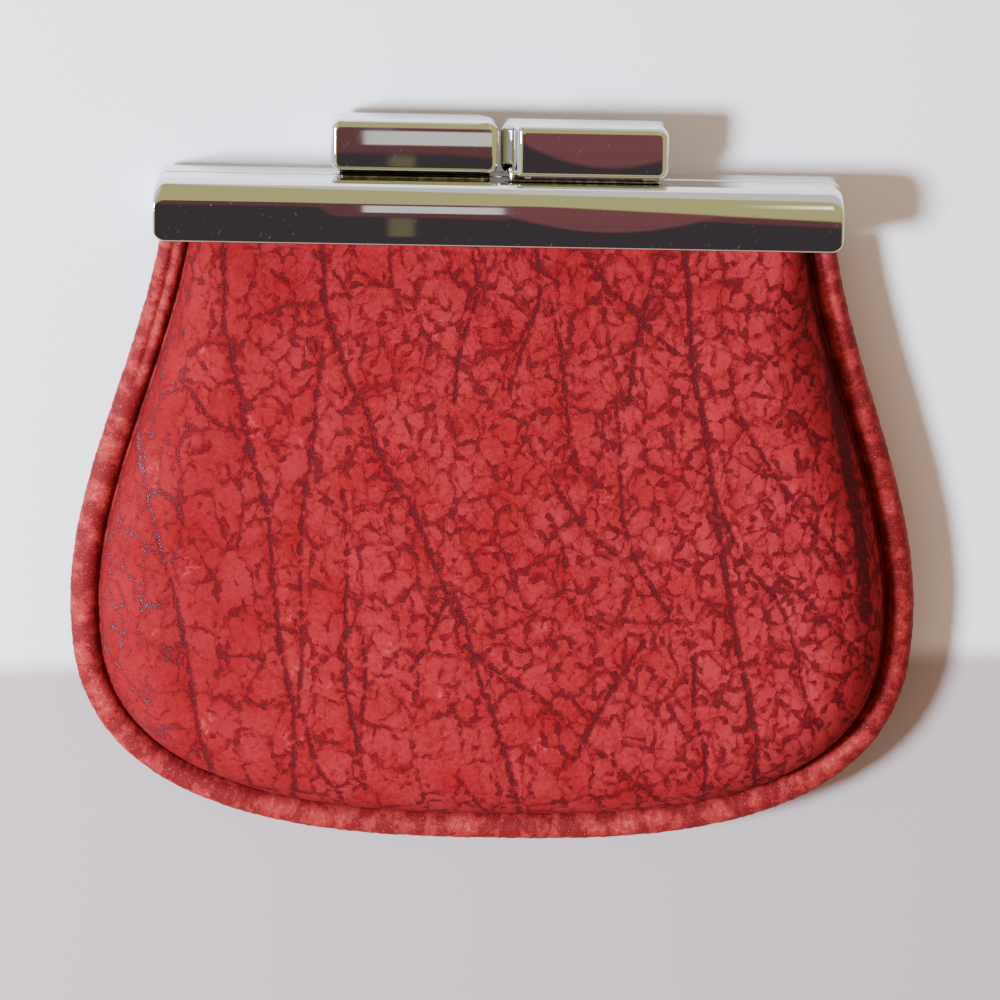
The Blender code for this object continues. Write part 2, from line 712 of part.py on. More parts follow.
def build():
    clear_scene()
    chrome = finish("polished_chrome", (0.62, 0.61, 0.59), 0.08, 1.0)
    steel = finish("plated_steel", (0.55, 0.55, 0.56), 0.28, 1.0)
    leather = finish("crackled_red_leather", (0.52, 0.045, 0.055), 0.62, 0.0)
    edging = finish("piping_leather", (0.58, 0.10, 0.10), 0.66, 0.0)
    lining = finish("cotton_lining", (0.30, 0.02, 0.03), 0.9, 0.0)
    foam = finish("padding_foam", (0.85, 0.82, 0.74), 0.95, 0.0)
    twine = finish("paper_cord", (0.66, 0.55, 0.40), 0.9, 0.0)

    pivot = bpy.data.objects.new("front_frame_pivot", None)
    pivot.location = (0, HINGE_Y, MIDDLE)
    bpy.context.scene.collection.objects.link(pivot)
    bpy.context.view_layer.update()
    moving = []

    moving.append(make_bar("front_bar", FRONT, block_middle(RIGHT), chrome))
    make_bar("rear_bar", REAR, block_middle(LEFT), chrome)
    moving.append(make_block("right_clasp_block", RIGHT, FRONT, chrome))
    make_block("left_clasp_block", LEFT, REAR, chrome)
    for word, hand in (("left", LEFT), ("right", RIGHT)):
        moving.append(make_arm("front_arm_" + word, hand, FRONT, steel))
        make_arm("rear_arm_" + word, hand, REAR, steel)
        make_rivet("hinge_rivet_" + word, hand, steel)
    moving.append(make_paper_cord("front_paper_cord", FRONT, twine))
    make_paper_cord("rear_paper_cord", REAR, twine)

    skin_starts = (0.0, 0.0)
    lining_starts = (LINING_START_TOP, LINING_START_LOW)
    foam_starts = (FOAM_START, FOAM_START)
    fold_top, fold_bottom = FOLD_Y + CLEARANCE / 2, FOLD_Y - CLEARANCE / 2
    full, strip, fine = PANEL_ROWS, STRIP_ROWS, PANEL_COLUMNS
    make_sheet(
        "front_panel", FRONT, skin_starts, LEATHER_THICKNESS, fold_bottom, None, full, fine, leather
    )
    make_sheet(
        "rear_panel", REAR, skin_starts, LEATHER_THICKNESS, TUCK_Y, None, full + strip, fine, leather
    )
    make_sheet(
        "front_lining", FRONT, lining_starts, LINING_THICKNESS, fold_bottom, None, full, fine, lining
    )
    make_sheet(
        "rear_lining", REAR, lining_starts, LINING_THICKNESS, TUCK_Y, None, full + strip, fine, lining
    )
    for word, side in (("front", FRONT), ("rear", REAR)):
        make_sheet(
            word + "_padding", side, foam_starts, FOAM_THICKNESS, FOAM_Y, None, full, fine, foam
        )
    moving.append(
        make_sheet(
            "front_panel_top", FRONT, skin_starts, LEATHER_THICKNESS, TUCK_Y, fold_top, strip, fine, leather
        )
    )
    moving.append(
        make_sheet(
            "front_lining_top", FRONT, lining_starts, LINING_THICKNESS, TUCK_Y, fold_top, strip, fine, lining
        )
    )

    piping_top = BAR_BOTTOM - CLEARANCE
    lower = piping_path(fold_bottom)
    make_piping("piping", lower, LEFT, edging)
    make_piping_cord("piping_cord", lower, twine)
    for word, hand in (("left", LEFT), ("right", RIGHT)):
        upper = piping_path(piping_top, fold_top, hand)
        moving.append(make_piping("piping_top_" + word, upper, hand, edging))
        moving.append(make_piping_cord("piping_cord_top_" + word, upper, twine))

    for obj in moving:
        hold_at_hinge(obj, pivot)


build()
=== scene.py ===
"""A crackled red leather coin purse on a chromed snap frame, lying on its back.

X runs along the frame's bars, +Y towards the clasp and +Z out of the front face; metres.
"""

import math

import bpy
import numpy as np
from mathutils import Matrix, Vector


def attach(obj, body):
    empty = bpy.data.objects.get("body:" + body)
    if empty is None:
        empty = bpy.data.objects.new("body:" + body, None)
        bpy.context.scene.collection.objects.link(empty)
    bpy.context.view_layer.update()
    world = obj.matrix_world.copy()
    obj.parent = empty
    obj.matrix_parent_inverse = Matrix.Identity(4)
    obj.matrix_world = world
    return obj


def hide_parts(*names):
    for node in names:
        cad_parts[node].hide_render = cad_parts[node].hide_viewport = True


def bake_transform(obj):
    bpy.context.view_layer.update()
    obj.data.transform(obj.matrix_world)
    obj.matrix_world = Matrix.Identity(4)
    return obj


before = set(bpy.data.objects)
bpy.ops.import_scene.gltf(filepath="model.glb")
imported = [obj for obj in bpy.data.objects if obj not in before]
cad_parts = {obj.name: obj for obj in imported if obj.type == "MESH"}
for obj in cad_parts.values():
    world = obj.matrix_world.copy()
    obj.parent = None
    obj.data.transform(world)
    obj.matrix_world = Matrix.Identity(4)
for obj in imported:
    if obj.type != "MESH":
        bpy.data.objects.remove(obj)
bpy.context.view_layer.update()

# Frame bars. Each is a pressed channel of brass strip with a rounded top and closed ends with
# round corners, chromed and polished. The leather's edge is pushed up into it from below.

MIDDLE = 0.0062
BAR_BOTTOM = 0.03135
BAR_LENGTH, BAR_HEIGHT, BAR_DEPTH = 0.0846, 0.0077, 0.006
BAR_WALL, BAR_INNER_FACE = 0.0008, 0.0002
BAR_TOP_ROUND, BAR_EDGE_ROUND = 0.0024, 0.0003
BAR_CORNER_ROUND, BAR_END_EDGE = 0.0015, 0.0002
BAR_SWELL = 0.00006
FINE_ARC, PLAIN_ARC, PLAIN_FLAT = 16, 6, 4
BAR_TOP = BAR_BOTTOM + BAR_HEIGHT
CHROME, GRIME_AND_SHADE = (0.67, 0.665, 0.655, 1), (0.10, 0.09, 0.07, 1)
GRIME_AND_SHADE_BORDERS = (0.02, 0.1), (0.55, 0.8)
CHROME_ROUGHNESS, SCRATCH_ROUGHNESS, FILM_ROUGHNESS = 0.012, 0.2, 0.01
# Hair scratches in three directions: turn, length, least noise that shows
SCRATCHES = ((1.1, 1.8, 0.73), (-0.9, 1.5, 0.75), (0.35, 2.4, 0.78))
SCRATCH_WIDTH, SCRATCH_DEPTH = 0.07, 1.6
FRONT, REAR = 1, -1
LEFT, RIGHT = -1, 1


class Wire:
    """A shader socket on which arithmetic adds the Math nodes that it stands for."""

    def __init__(self, tree, socket=None):
        self.tree, self.socket = tree, socket

    def add(self, kind, settings=None, values=None, output=0):
        """A node of that type: its settings come first, then a value or a wire for each socket."""
        node = self.tree.nodes.new(kind)
        for name, setting in (settings or {}).items():
            setattr(node, name, setting)
        for name, value in (values or {}).items():
            if isinstance(value, Wire):
                self.tree.links.new(value.socket, node.inputs[name])
            else:
                node.inputs[name].default_value = value
        return Wire(self.tree, node.outputs[output])

    def maths(self, operation, *others):
        """One Math node, with the wire as its first value."""
        values = dict(enumerate((self, *others)))
        return self.add("ShaderNodeMath", {"operation": operation}, values)

    def at_least(self, other):
        return self.maths("MAXIMUM", other)

    def at_most(self, other):
        return self.maths("MINIMUM", other)

    def stored(self, name, output=2):
        """What the mesh keeps for each point by that name: a number, or a vector at output 1."""
        return self.add("ShaderNodeAttribute", {"attribute_name": name}, None, output)

    def axis(self, number):
        """The part of a vector along X, Y or Z, as 0, 1 or 2."""
        return self.add("ShaderNodeSeparateXYZ", None, {"Vector": self}, number)

    def plus(self, shift):
        """The sum of two vectors."""
        return self.add("ShaderNodeVectorMath", {"operation": "ADD"}, {0: self, 1: shift})

    def __add__(self, other):
        return self.maths("ADD", other)

    def __sub__(self, other):
        return self.maths("SUBTRACT", other)

    def __rsub__(self, other):
        return self.maths("MULTIPLY_ADD", -1.0, other)

    def __mul__(self, other):
        return self.maths("MULTIPLY", other)

    def __truediv__(self, other):
        return self.maths("DIVIDE", other)

    def __pow__(self, other):
        return self.maths("POWER", other)

    __radd__, __rmul__ = __add__, __mul__

    def step(self, start, end):
        """0 where the wire is at start, 1 at end, and an S-curve between them."""
        values = {"Value": self, "From Min": start, "From Max": end}
        return self.add("ShaderNodeMapRange", {"interpolation_type": "SMOOTHSTEP"}, values)

    def cells(self, scale, feature="F1", output=0, dimensions="2D", **more):
        """Random cells, so many to a unit of length: the way to a middle or to an edge."""
        settings = {"voronoi_dimensions": dimensions, "feature": feature}
        values = {"Vector": self, "Scale": scale, **more}
        return self.add("ShaderNodeTexVoronoi", settings, values, output)

    def noise(self, scale, detail=3.0, roughness=0.5, dimensions="3D", output=0):
        """Fractal noise, 0 to 1, with so many lumps to a unit of length."""
        values = {"Vector": self, "Scale": scale, "Detail": detail, "Roughness": roughness}
        return self.add("ShaderNodeTexNoise", {"noise_dimensions": dimensions}, values, output)

    def moved(self, offset, stretch=(1, 1, 1)):
        """The place, stretched and then moved along each axis."""
        values = {0: self, 1: stretch}
        return self.add("ShaderNodeVectorMath", {"operation": "MULTIPLY"}, values).plus(offset)

    def mixed(self, first, second):
        """The first colour where the wire is 0 and the second where it is 1."""
        values = {0: self, 6: first, 7: second}
        return self.add("ShaderNodeMix", {"data_type": "RGBA", "clamp_factor": True}, values, 2)

    def bump(self, distance, strength=1.0, under=None):
        """A normal tilted by the slope of the wire, whose full height is the distance."""
        values = {"Height": self, "Distance": distance, "Strength": strength}
        if under is not None:
            values["Normal"] = under
        return self.add("ShaderNodeBump", None, values)


def new_finish(name, **constants):
    """A material and a wire to write its nodes with; constants are set on the shader itself."""
    material = bpy.data.materials.new(name)
    material.use_nodes = True
    shader = material.node_tree.nodes["Principled BSDF"]
    for socket, value in constants.items():
        shader.inputs[socket.replace("_", " ")].default_value = value
    return material, Wire(material.node_tree)


def connect(material, **wires):
    """Links each wire to the shader's socket of that name, and gives the material back."""
    shader = material.node_tree.nodes["Principled BSDF"]
    for name, wire in wires.items():
        material.node_tree.links.new(wire.socket, shader.inputs[name.replace("_", " ")])
    return material


def millimetres(wire):
    """The piece's own place in millimetres."""
    place = wire.add("ShaderNodeTexCoord", None, None, 3)
    return place.moved((0, 0, 0), (1000, 1000, 1000))


def chrome_finish():
    """Bright plate, dulled along a few hair scratches and by a faint film from fingers, with
    dark dirt and painted shade in the crevice between the bars and the clasp blocks."""
    material, wire = new_finish("chrome_plate", Metallic=1.0)
    place = millimetres(wire)
    # Darker just above the bars, under the clasp blocks: painted shade in the crevice, with some
    # dirt.
    over_bar = place.axis(1) - BAR_TOP * 1000
    grime_and_shade = over_bar.step(*GRIME_AND_SHADE_BORDERS[0]) * (1 - over_bar.step(*GRIME_AND_SHADE_BORDERS[1]))
    grime_and_shade = grime_and_shade * (place.noise(1.3, 3.0).step(0.25, 0.6) * 0.4 + 0.5)
    colour = grime_and_shade.mixed(CHROME, GRIME_AND_SHADE)
    scratches = None
    for turn, length, threshold in SCRATCHES:
        scale = (length, SCRATCH_WIDTH, SCRATCH_DEPTH)
        turned = wire.add(
            "ShaderNodeMapping", {"vector_type": "TEXTURE"},
            {"Vector": place, "Rotation": (0, 0, turn), "Scale": scale},
        )
        marks = turned.noise(1.0, 2.0, 0.6).step(threshold, threshold + 0.05)
        scratches = marks if scratches is None else scratches.at_least(marks)
    film = place.noise(0.12, 3.0).step(0.42, 0.75)
    dulled = scratches * (SCRATCH_ROUGHNESS - CHROME_ROUGHNESS) + film * FILM_ROUGHNESS
    normal = (scratches * -1.0).bump(0.00001, 0.2)
    return connect(material, Base_Color=colour, Roughness=dulled + CHROME_ROUGHNESS, Normal=normal)


def ring_faces(rings, points):
    """Quads that join each ring of points to the next, all the way round."""
    ring, point = np.meshgrid(np.arange(rings - 1), np.arange(points), indexing="ij")
    after = (point + 1) % points
    near, far = ring * points, (ring + 1) * points
    return np.stack([near + point, near + after, far + after, far + point], axis=-1).reshape(-1, 4)


def new_piece(name, points, faces, material, sharp_degrees=40):
    """An object at the origin whose mesh holds its place, smooth but for its sharp edges."""
    mesh = bpy.data.meshes.new(name)
    mesh.from_pydata(np.asarray(points, float).reshape(-1, 3).tolist(), [], faces)
    mesh.shade_smooth()
    mesh.set_sharp_from_angle(angle=math.radians(sharp_degrees))
    mesh.materials.append(material)
    mesh.update()
    piece = bpy.data.objects.new(name, mesh)
    bpy.context.scene.collection.objects.link(piece)
    return piece


def closed_faces(count, points, flip=False, start=0):
    """The faces of a tube of so many rings with a flat face over each end."""
    faces = ring_faces(count, points).tolist()
    faces += [list(range(points))[::-1], [(count - 1) * points + i for i in range(points)]]
    return [[start + i for i in (face[::-1] if flip else face)] for face in faces]


def tube_piece(name, rings, material, flip=False):
    """A (rings, points, 3) array skinned into a closed tube."""
    return new_piece(name, rings, closed_faces(*rings.shape[:2], flip), material)


def rounded_outline(low, high, radii, inset, arc_steps, flat_steps):
    """(y, z) round a rectangle drawn in by an inset, or by one for y and one for z. Its corners
    are quarter circles of their radii, and its sides have more points close to them."""
    (y0, z0), (y1, z1) = np.add(low, inset), np.subtract(high, inset)
    corners = ((y0, z0, 1, 1), (y1, z0, -1, 1), (y1, z1, -1, -1), (y0, z1, 1, -1))
    arcs = []
    for k, (y, z, along_y, along_z) in enumerate(corners):
        angle = math.pi * (1 + k / 2) + np.linspace(0, math.pi / 2, arc_steps + 1)
        centre = np.array([y + along_y * radii[k], z + along_z * radii[k]])
        arcs.append(centre + radii[k] * np.stack([np.cos(angle), np.sin(angle)], axis=1))
    share = (1 - np.cos(np.linspace(0, math.pi, flat_steps + 1)[1:-1, None])) / 2
    outline = []
    for k in range(4):
        start, end = arcs[k][-1], arcs[(k + 1) % 4][0]
        outline += [arcs[k], start + share * (end - start)]
    return np.concatenate(outline)


def end_stations(half_length, end_round, arc_steps, flat_steps):
    """(x, inset) along a bar: x is evenly spaced between the ends, and each end is a quarter
    circle, where the section draws in by its radius times (1 - cos)."""
    angle = np.linspace(0, math.pi / 2, arc_steps + 1)
    reach = half_length - end_round + end_round * np.sin(angle)
    inset = end_round * (1 - np.cos(angle))
    between = np.linspace(-1, 1, flat_steps + 1)[1:-1] * (half_length - end_round)
    x = np.concatenate([-reach[::-1], between, reach])
    return x, np.concatenate([inset[::-1], between * 0, inset])


def edge_inset(from_end, edge_round):
    """How far a quarter circle of that radius draws a face in, at a distance from its end."""
    within = edge_round - np.minimum(from_end, edge_round)
    return edge_round - np.sqrt(edge_round**2 - within**2)


def bar_form(side, near, far, bottom, top, half_length, corner_round, end_edge, radii, swell, fine):
    """The bar's section (y, z) carried along X. At the ends it draws in by one quarter circle
    in y and a smaller one in z. Its outer face swells by a parabola in y."""
    z0, z1 = sorted((MIDDLE + side * near, MIDDLE + side * far))
    x, inset = end_stations(half_length, corner_round, fine, 4 * fine)
    insets = np.stack([inset, edge_inset(half_length - np.abs(x), end_edge)], axis=1)
    sections = [rounded_outline((bottom, z0), (top, z1), radii, i, fine, fine) for i in insets]
    form = np.stack(sections)
    form = np.concatenate([np.broadcast_to(x[:, None, None], (*form.shape[:2], 1)), form], axis=2)
    rise = 1 - ((form[..., 1] - (bottom + top) / 2) / ((top - bottom) / 2)) ** 2
    outward = np.clip((np.abs(form[..., 2] - MIDDLE) - near) / (far - near), 0, 1)
    form[..., 2] += side * swell * rise * outward
    return form


def bar_radii(side, crown, edge):
    """The radii of the section's corners, of which the outer top one is the crown."""
    return (edge, edge, crown, edge) if side == FRONT else (edge, crown, edge, edge)


def hollowed(piece, cutter):
    """Takes the cutter's form out of the piece, for good, and throws the cutter away."""
    modifier = piece.modifiers.new("channel", "BOOLEAN")
    modifier.operation, modifier.object, modifier.solver = "DIFFERENCE", cutter, "EXACT"
    graph = bpy.context.evaluated_depsgraph_get()
    mesh = bpy.data.meshes.new_from_object(piece.evaluated_get(graph))
    piece.modifiers.clear()
    piece.data = mesh
    mesh.set_sharp_from_angle(angle=math.radians(40))
    bpy.data.objects.remove(cutter)


chrome = chrome_finish()
for name, side, body in (("front_bar", FRONT, "front_frame"), ("rear_bar", REAR, "pouch")):
    radii = bar_radii(side, BAR_TOP_ROUND, BAR_EDGE_ROUND)
    form = bar_form(
        side, BAR_INNER_FACE, BAR_INNER_FACE + BAR_DEPTH, BAR_BOTTOM, BAR_TOP,
        BAR_LENGTH / 2, BAR_CORNER_ROUND, BAR_END_EDGE, radii,
        BAR_SWELL if side == FRONT else 0.0, FINE_ARC,
    )
    bar = tube_piece("polished_" + name, form, chrome)
    radii = bar_radii(side, BAR_TOP_ROUND - BAR_WALL, BAR_EDGE_ROUND / 2)
    hollow = bar_form(
        side, BAR_INNER_FACE + BAR_WALL, BAR_INNER_FACE + BAR_DEPTH - BAR_WALL,
        BAR_BOTTOM - BAR_WALL, BAR_TOP - BAR_WALL, BAR_LENGTH / 2 - BAR_WALL,
        BAR_CORNER_ROUND - BAR_WALL, 0.0, radii, 0.0, PLAIN_ARC,
    )
    hollowed(bar, tube_piece("channel", hollow, chrome))
    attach(bar, body)
    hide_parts(name)

# Clasp blocks. Two polished cushions of cast metal snap past each other over the bars; each
# stands on a low foot that is riveted through the top of its own bar.

BLOCK_LENGTH, BLOCK_HEIGHT, BLOCK_DEPTH = 0.0206, 0.0065, 0.006
BLOCK_GAP, BLOCK_OFFSET = 0.0003, 0.0011
BLOCK_EDGE_ROUND, BLOCK_CORNER_ROUND = 0.0008, 0.0013
BLOCK_SWELL, BLOCK_LEANS = 0.000019, {FRONT: 0.013, REAR: 0.0045}
NOSE_RUN, NOSE_CUT = 0.0026, 0.0032
FOOT_HEIGHT, FOOT_DEPTH, FOOT_SET_BACK = 0.0006, 0.0032, 0.001
FOOT_GAP, FOOT_CORNER = 0.00003, 0.00035
STUD_RADIUS, STUD_REACH, STUD_SPACING, STUD_SIDES = 0.0009, 0.0018, 0.012, 32
BLOCK_ARC, BLOCK_COLUMNS, BLOCK_ROWS, BLOCK_LEVELS = 12, 72, 18, 10
FOOT_LEVEL = BAR_INNER_FACE + BAR_EDGE_ROUND + FOOT_DEPTH / 2


def rim_of(grid):
    """The border of a grid, once round, counter-clockwise where rows go up and columns right."""
    return np.concatenate([grid[0, :-1], grid[:-1, -1], grid[-1, :0:-1], grid[:0:-1, 0]])


def grid_quads(index):
    """The four corners of each cell of a grid of point numbers."""
    corners = (index[:-1, :-1], index[:-1, 1:], index[1:, 1:], index[1:, :-1])
    return np.stack(corners, axis=-1).reshape(-1, 4)


def smooth_step(share):
    """An S-curve from 0 to 1: s s (3 - 2 s)."""
    share = np.clip(share, 0, 1)
    return share * share * (3 - 2 * share)


def block_levels(hand, side, middle_x):
    """Grids of points at levels through the block's depth. A grid is the block's rounded outline,
    drawn in by the edge's quarter circle: at x it is as high as the block less r (1 - cos a) in
    its corners. The face swells by a parabola in y and leans by a slope of its own. Over the
    nose, next to the other block, the outer side falls away in an S-curve."""
    up = -np.cos(np.linspace(0, math.pi, BLOCK_ROWS + 1))[:, None]
    levels = end_stations(BLOCK_DEPTH / 2, BLOCK_EDGE_ROUND, BLOCK_ARC, BLOCK_LEVELS)
    grids = []
    for level, inset in zip(*levels):
        half, corner = BLOCK_LENGTH / 2 - inset, BLOCK_CORNER_ROUND - inset
        x, drop = end_stations(half, corner, BLOCK_ARC, BLOCK_COLUMNS)
        y = up * (BLOCK_HEIGHT / 2 - inset - drop)
        grids.append(np.stack([x + y * 0, y, y * 0 + level], axis=-1))
    form = np.stack(grids)
    v, w = form[..., 1] / (BLOCK_HEIGHT / 2), form[..., 2] / (BLOCK_DEPTH / 2)
    form[..., 2] += w * (BLOCK_SWELL * (1 - v**2) + BLOCK_LEANS[side] * form[..., 1])
    fall = NOSE_CUT * smooth_step(1 - (BLOCK_LENGTH / 2 + hand * form[..., 0]) / NOSE_RUN)
    form[..., 2] -= side * fall * (side * w + 1) / 2
    middle_y = BAR_TOP + FOOT_HEIGHT + BLOCK_HEIGHT / 2
    return form + (middle_x, middle_y, MIDDLE + side * BLOCK_OFFSET)


def cushion_mesh(levels):
    """Points and faces of the first and last grid, joined by the borders of those between."""
    first = np.arange(levels[0, ..., 0].size).reshape(levels.shape[1:3])
    last = first + first.size
    points, rims = [levels[0].reshape(-1, 3), levels[-1].reshape(-1, 3)], [rim_of(first)]
    start = 2 * first.size
    for grid in levels[1:-1]:
        rim = rim_of(grid)
        points.append(rim)
        rims.append(start + np.arange(len(rim)))
        start += len(rim)
    rims = np.stack(rims + [rim_of(last)])
    after = np.roll(rims, -1, axis=1)
    sides = np.stack([rims[:-1], after[:-1], after[1:], rims[1:]], axis=-1).reshape(-1, 4)
    faces = [grid_quads(first)[:, ::-1], grid_quads(last), sides]
    return np.concatenate(points), np.concatenate(faces).tolist()


for name, hand, side, body in (
    ("left_clasp_block", LEFT, REAR, "pouch"),
    ("right_clasp_block", RIGHT, FRONT, "front_frame"),
):
    middle_x = hand * (BLOCK_GAP + BLOCK_LENGTH) / 2
    level = MIDDLE + side * FOOT_LEVEL
    points, faces = cushion_mesh(block_levels(hand, side, middle_x))
    points = [points]
    half = BLOCK_LENGTH / 2 - FOOT_SET_BACK
    x, inset = end_stations(half, BLOCK_EDGE_ROUND, PLAIN_ARC, 2 * PLAIN_FLAT)
    low = (BAR_TOP + FOOT_GAP, level - FOOT_DEPTH / 2)
    high = (BAR_TOP + FOOT_HEIGHT + BLOCK_EDGE_ROUND, level + FOOT_DEPTH / 2)
    plan = low, high, (FOOT_CORNER,) * 4
    sections = [rounded_outline(*plan, (0, i / 2), PLAIN_ARC, PLAIN_FLAT) for i in inset]
    foot = np.stack([np.insert(s, 0, middle_x + at, axis=1) for at, s in zip(x, sections)])
    angle = np.linspace(0, 2 * math.pi, STUD_SIDES + 1)[:-1]
    studs = []
    for shift in (-STUD_SPACING / 2, STUD_SPACING / 2):
        ends = (BAR_TOP - STUD_REACH, BAR_TOP + FOOT_HEIGHT)
        x = middle_x + shift + STUD_RADIUS * np.cos(angle)
        z = level + STUD_RADIUS * np.sin(angle)
        studs.append(np.stack([np.stack([x, x * 0 + y, z], axis=1) for y in ends]))
    for form, turned in ((foot, False), (studs[0], True), (studs[1], True)):
        faces += closed_faces(*form.shape[:2], turned, sum(len(p) for p in points))
        points.append(form.reshape(-1, 3))
    piece = new_piece("polished_" + name, np.concatenate(points), faces, chrome)
    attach(piece, body)
    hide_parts(name)

# Arms and rivets. Flat strips of plated steel go up into the channels, a front and a rear one
# on each side, and a domed rivet through each pair is the purse's hinge.

HINGE_Y = BAR_BOTTOM - 0.015
ARM_INNER_X, ARM_THICKNESS, PIECE_GAP = 0.031, 0.001, 0.0003
RIVET_RADIUS, RIVET_HEAD_RADIUS, RIVET_HEAD_HEIGHT = 0.0009, 0.0015, 0.0006
RIVET_SIDES, RIVET_DOME_STEPS, RIVET_PROUD = 48, 8, 0.00002
PLATED_STEEL, PLATED_DULL = (0.55, 0.55, 0.56, 1), (0.46, 0.46, 0.47, 1)


def plated_finish():
    """Nickel plate over a rolled strip: long faint lines along Y and a mottled dullness."""
    material, wire = new_finish("plated_steel", Metallic=1.0)
    place = millimetres(wire)
    lines = place.moved((0, 0, 0), (9, 0.4, 9)).noise(1.0, 3.0, 0.6)
    mottle = place.noise(0.9, 3.0)
    colour = (lines * 0.5 + mottle * 0.5).step(0.3, 0.7).mixed(PLATED_DULL, PLATED_STEEL)
    dulled = mottle * 0.16 + lines * 0.1 + 0.16
    return connect(material, Base_Color=colour, Roughness=dulled, Normal=lines.bump(0.00001, 0.3))


plated_steel = plated_finish()
for name in ("front_arm_left", "front_arm_right", "rear_arm_left", "rear_arm_right"):
    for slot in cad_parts[name].material_slots:
        slot.material = plated_steel
for word, hand in (("left", LEFT), ("right", RIGHT)):
    first, last = ARM_INNER_X - PIECE_GAP, ARM_INNER_X + 2 * ARM_THICKNESS + 2 * PIECE_GAP
    dome = np.linspace(0, math.pi / 2, RIVET_DOME_STEPS + 1)
    rise, span = RIVET_HEAD_HEIGHT * np.cos(dome), RIVET_HEAD_RADIUS * np.sin(dome)
    x = np.concatenate([first - rise, [first, last], last + rise[::-1]])
    radius = np.concatenate([span, [RIVET_RADIUS] * 2, span[::-1]]) + RIVET_PROUD
    angle = np.linspace(0, 2 * math.pi, RIVET_SIDES + 1)[:-1]
    y = HINGE_Y + radius[:, None] * np.cos(angle)
    z = MIDDLE + radius[:, None] * np.sin(angle)
    rings = np.stack([np.broadcast_to(hand * x[:, None], y.shape), y, z], axis=-1)
    rivet = tube_piece("domed_rivet_" + word, rings, plated_steel, flip=hand == LEFT)
    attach(rivet, "pouch")
    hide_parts("hinge_rivet_" + word)

# Paper cords. A three-strand cord of twisted paper is pushed up beside the leather's edge in
# each channel, between the arms, and wedges it there.

PAPER_CORD_RADIUS, PAPER_CORD_REACH, PAPER_CORD_PITCH = 0.00065, 0.0295, 0.0045
TUCK_DEPTH = 0.0042
CORD_SIDES, CORD_RINGS, STRANDS, STRAND_SHARE = 24, 240, 3, 0.08
KRAFT_BROWN, KRAFT_PALE = (0.42, 0.30, 0.18, 1), (0.72, 0.60, 0.42, 1)
UPWARD = np.array((0.0, 0.0, 1.0))


def twine_finish():
    """Kraft paper: brown, with paler and darker fibres drawn out along the twist."""
    material, wire = new_finish("twisted_paper", Roughness=0.85)
    place = millimetres(wire)
    fibres = place.noise(5.0, 4.0, 0.65)
    colour = fibres.step(0.3, 0.72).mixed(KRAFT_BROWN, KRAFT_PALE)
    return connect(material, Base_Color=colour, Normal=fibres.bump(0.00004, 0.6))


def run_along(line):
    """The length of a line from its start to each of its points."""
    return np.concatenate([[0], np.cumsum(np.linalg.norm(np.diff(line, axis=0), axis=1))])


def twisted_rings(path, inward, upward, radius, pitch):
    """Rings round a path. At the angle a the radius is r (1 - s + s |cos(3 (a - turn) / 2)|), with
    s for a strand's share and a turn that grows by a whole turn every pitch."""
    run = run_along(path)[:, None]
    angle = np.linspace(0, 2 * math.pi, CORD_SIDES + 1)[:-1][None]
    strands = np.abs(np.cos(STRANDS / 2 * (angle - 2 * math.pi * run / pitch)))
    lobes = 1 - STRAND_SHARE + STRAND_SHARE * strands
    across = (radius * lobes * np.cos(angle))[..., None] * inward[:, None]
    return path[:, None] + across + (radius * lobes * np.sin(angle))[..., None] * upward


twisted_paper = twine_finish()
for word, side, body in (("front", FRONT, "front_frame"), ("rear", REAR, "pouch")):
    x = np.linspace(-PAPER_CORD_REACH, PAPER_CORD_REACH, CORD_RINGS)
    level = MIDDLE + side * (BAR_INNER_FACE + BAR_WALL + PIECE_GAP + PAPER_CORD_RADIUS)
    path = np.stack([x, x * 0 + BAR_BOTTOM + TUCK_DEPTH / 2, x * 0 + level], axis=1)
    along_y = np.broadcast_to((0.0, 1.0, 0.0), path.shape)
    rings = twisted_rings(path, along_y, UPWARD, PAPER_CORD_RADIUS, PAPER_CORD_PITCH)
    cord = tube_piece(word + "_twisted_cord", rings, twisted_paper)
    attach(cord, body)
    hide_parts(word + "_paper_cord")

# Leather panels. Shrunken, crackled red leather with a rubbed nap, padded from behind: its
# rim turns down to the seam and its top edge goes up into the bars' channels. The front one
# bends where the frame opens.

BODY_WIDTH, BODY_BOTTOM, MOUTH_WIDTH, WIDEST_DROP = 0.106, -0.04615, 0.0834, 0.0462
CORNER_POWER_SHARE, SIDE_EASE_SHARE, SIDE_POWER_SHARE = 2.7, 0.5, 1.5
FRONT_CROWN, REAR_CROWN, CROWN_SAG_SHARE = 0.0096, 0.0084, 0.14
CROWN_RISE, CROWN_RISE_POWER_SHARE = 0.014, 1.3
SHOULDER_AT_BAR, SHOULDER_IN_BODY, SHOULDER_LEAST = 0.0032, 0.0085, 0.0012
LEATHER_THICKNESS, FOAM_THICKNESS, LINING_THICKNESS = 0.0012, 0.0014, 0.0006
RAMP_DROP, LINING_RAMP, FOAM_DROP = 0.003, 0.0045, 0.013
PIPING_RADIUS, SEAM_THICKNESS = 0.0018, 0.0008
TUCK_Y = BAR_BOTTOM + TUCK_DEPTH
RIM_INSET = 2 * PIPING_RADIUS + PIECE_GAP
RIM_AT_BAR = BAR_INNER_FACE + BAR_WALL + PIECE_GAP
RIM_IN_BODY = SEAM_THICKNESS / 2 + PIECE_GAP
CROWN_AT_BAR = BAR_INNER_FACE + BAR_DEPTH - BAR_WALL - PIECE_GAP
CORNER_SHARE, SPREAD_SHARE, EDGE_POINTS, SIDE_POINTS, ARC_POINTS = 0.33, 0.55, 480, 320, 1200
LARGE_NET, MEDIUM_NET, SMALL_NET, PEBBLES, LUMPS = 0.22, 0.46, 0.9, 1.25, 0.75
CREASE_VALLEY, CREASE_VALLEY_WIDTH = 0.00016, 0.0009
LEATHER_RED, LEATHER_ROSE = (0.215, 0.0075, 0.0105, 1), (0.275, 0.018, 0.024, 1)
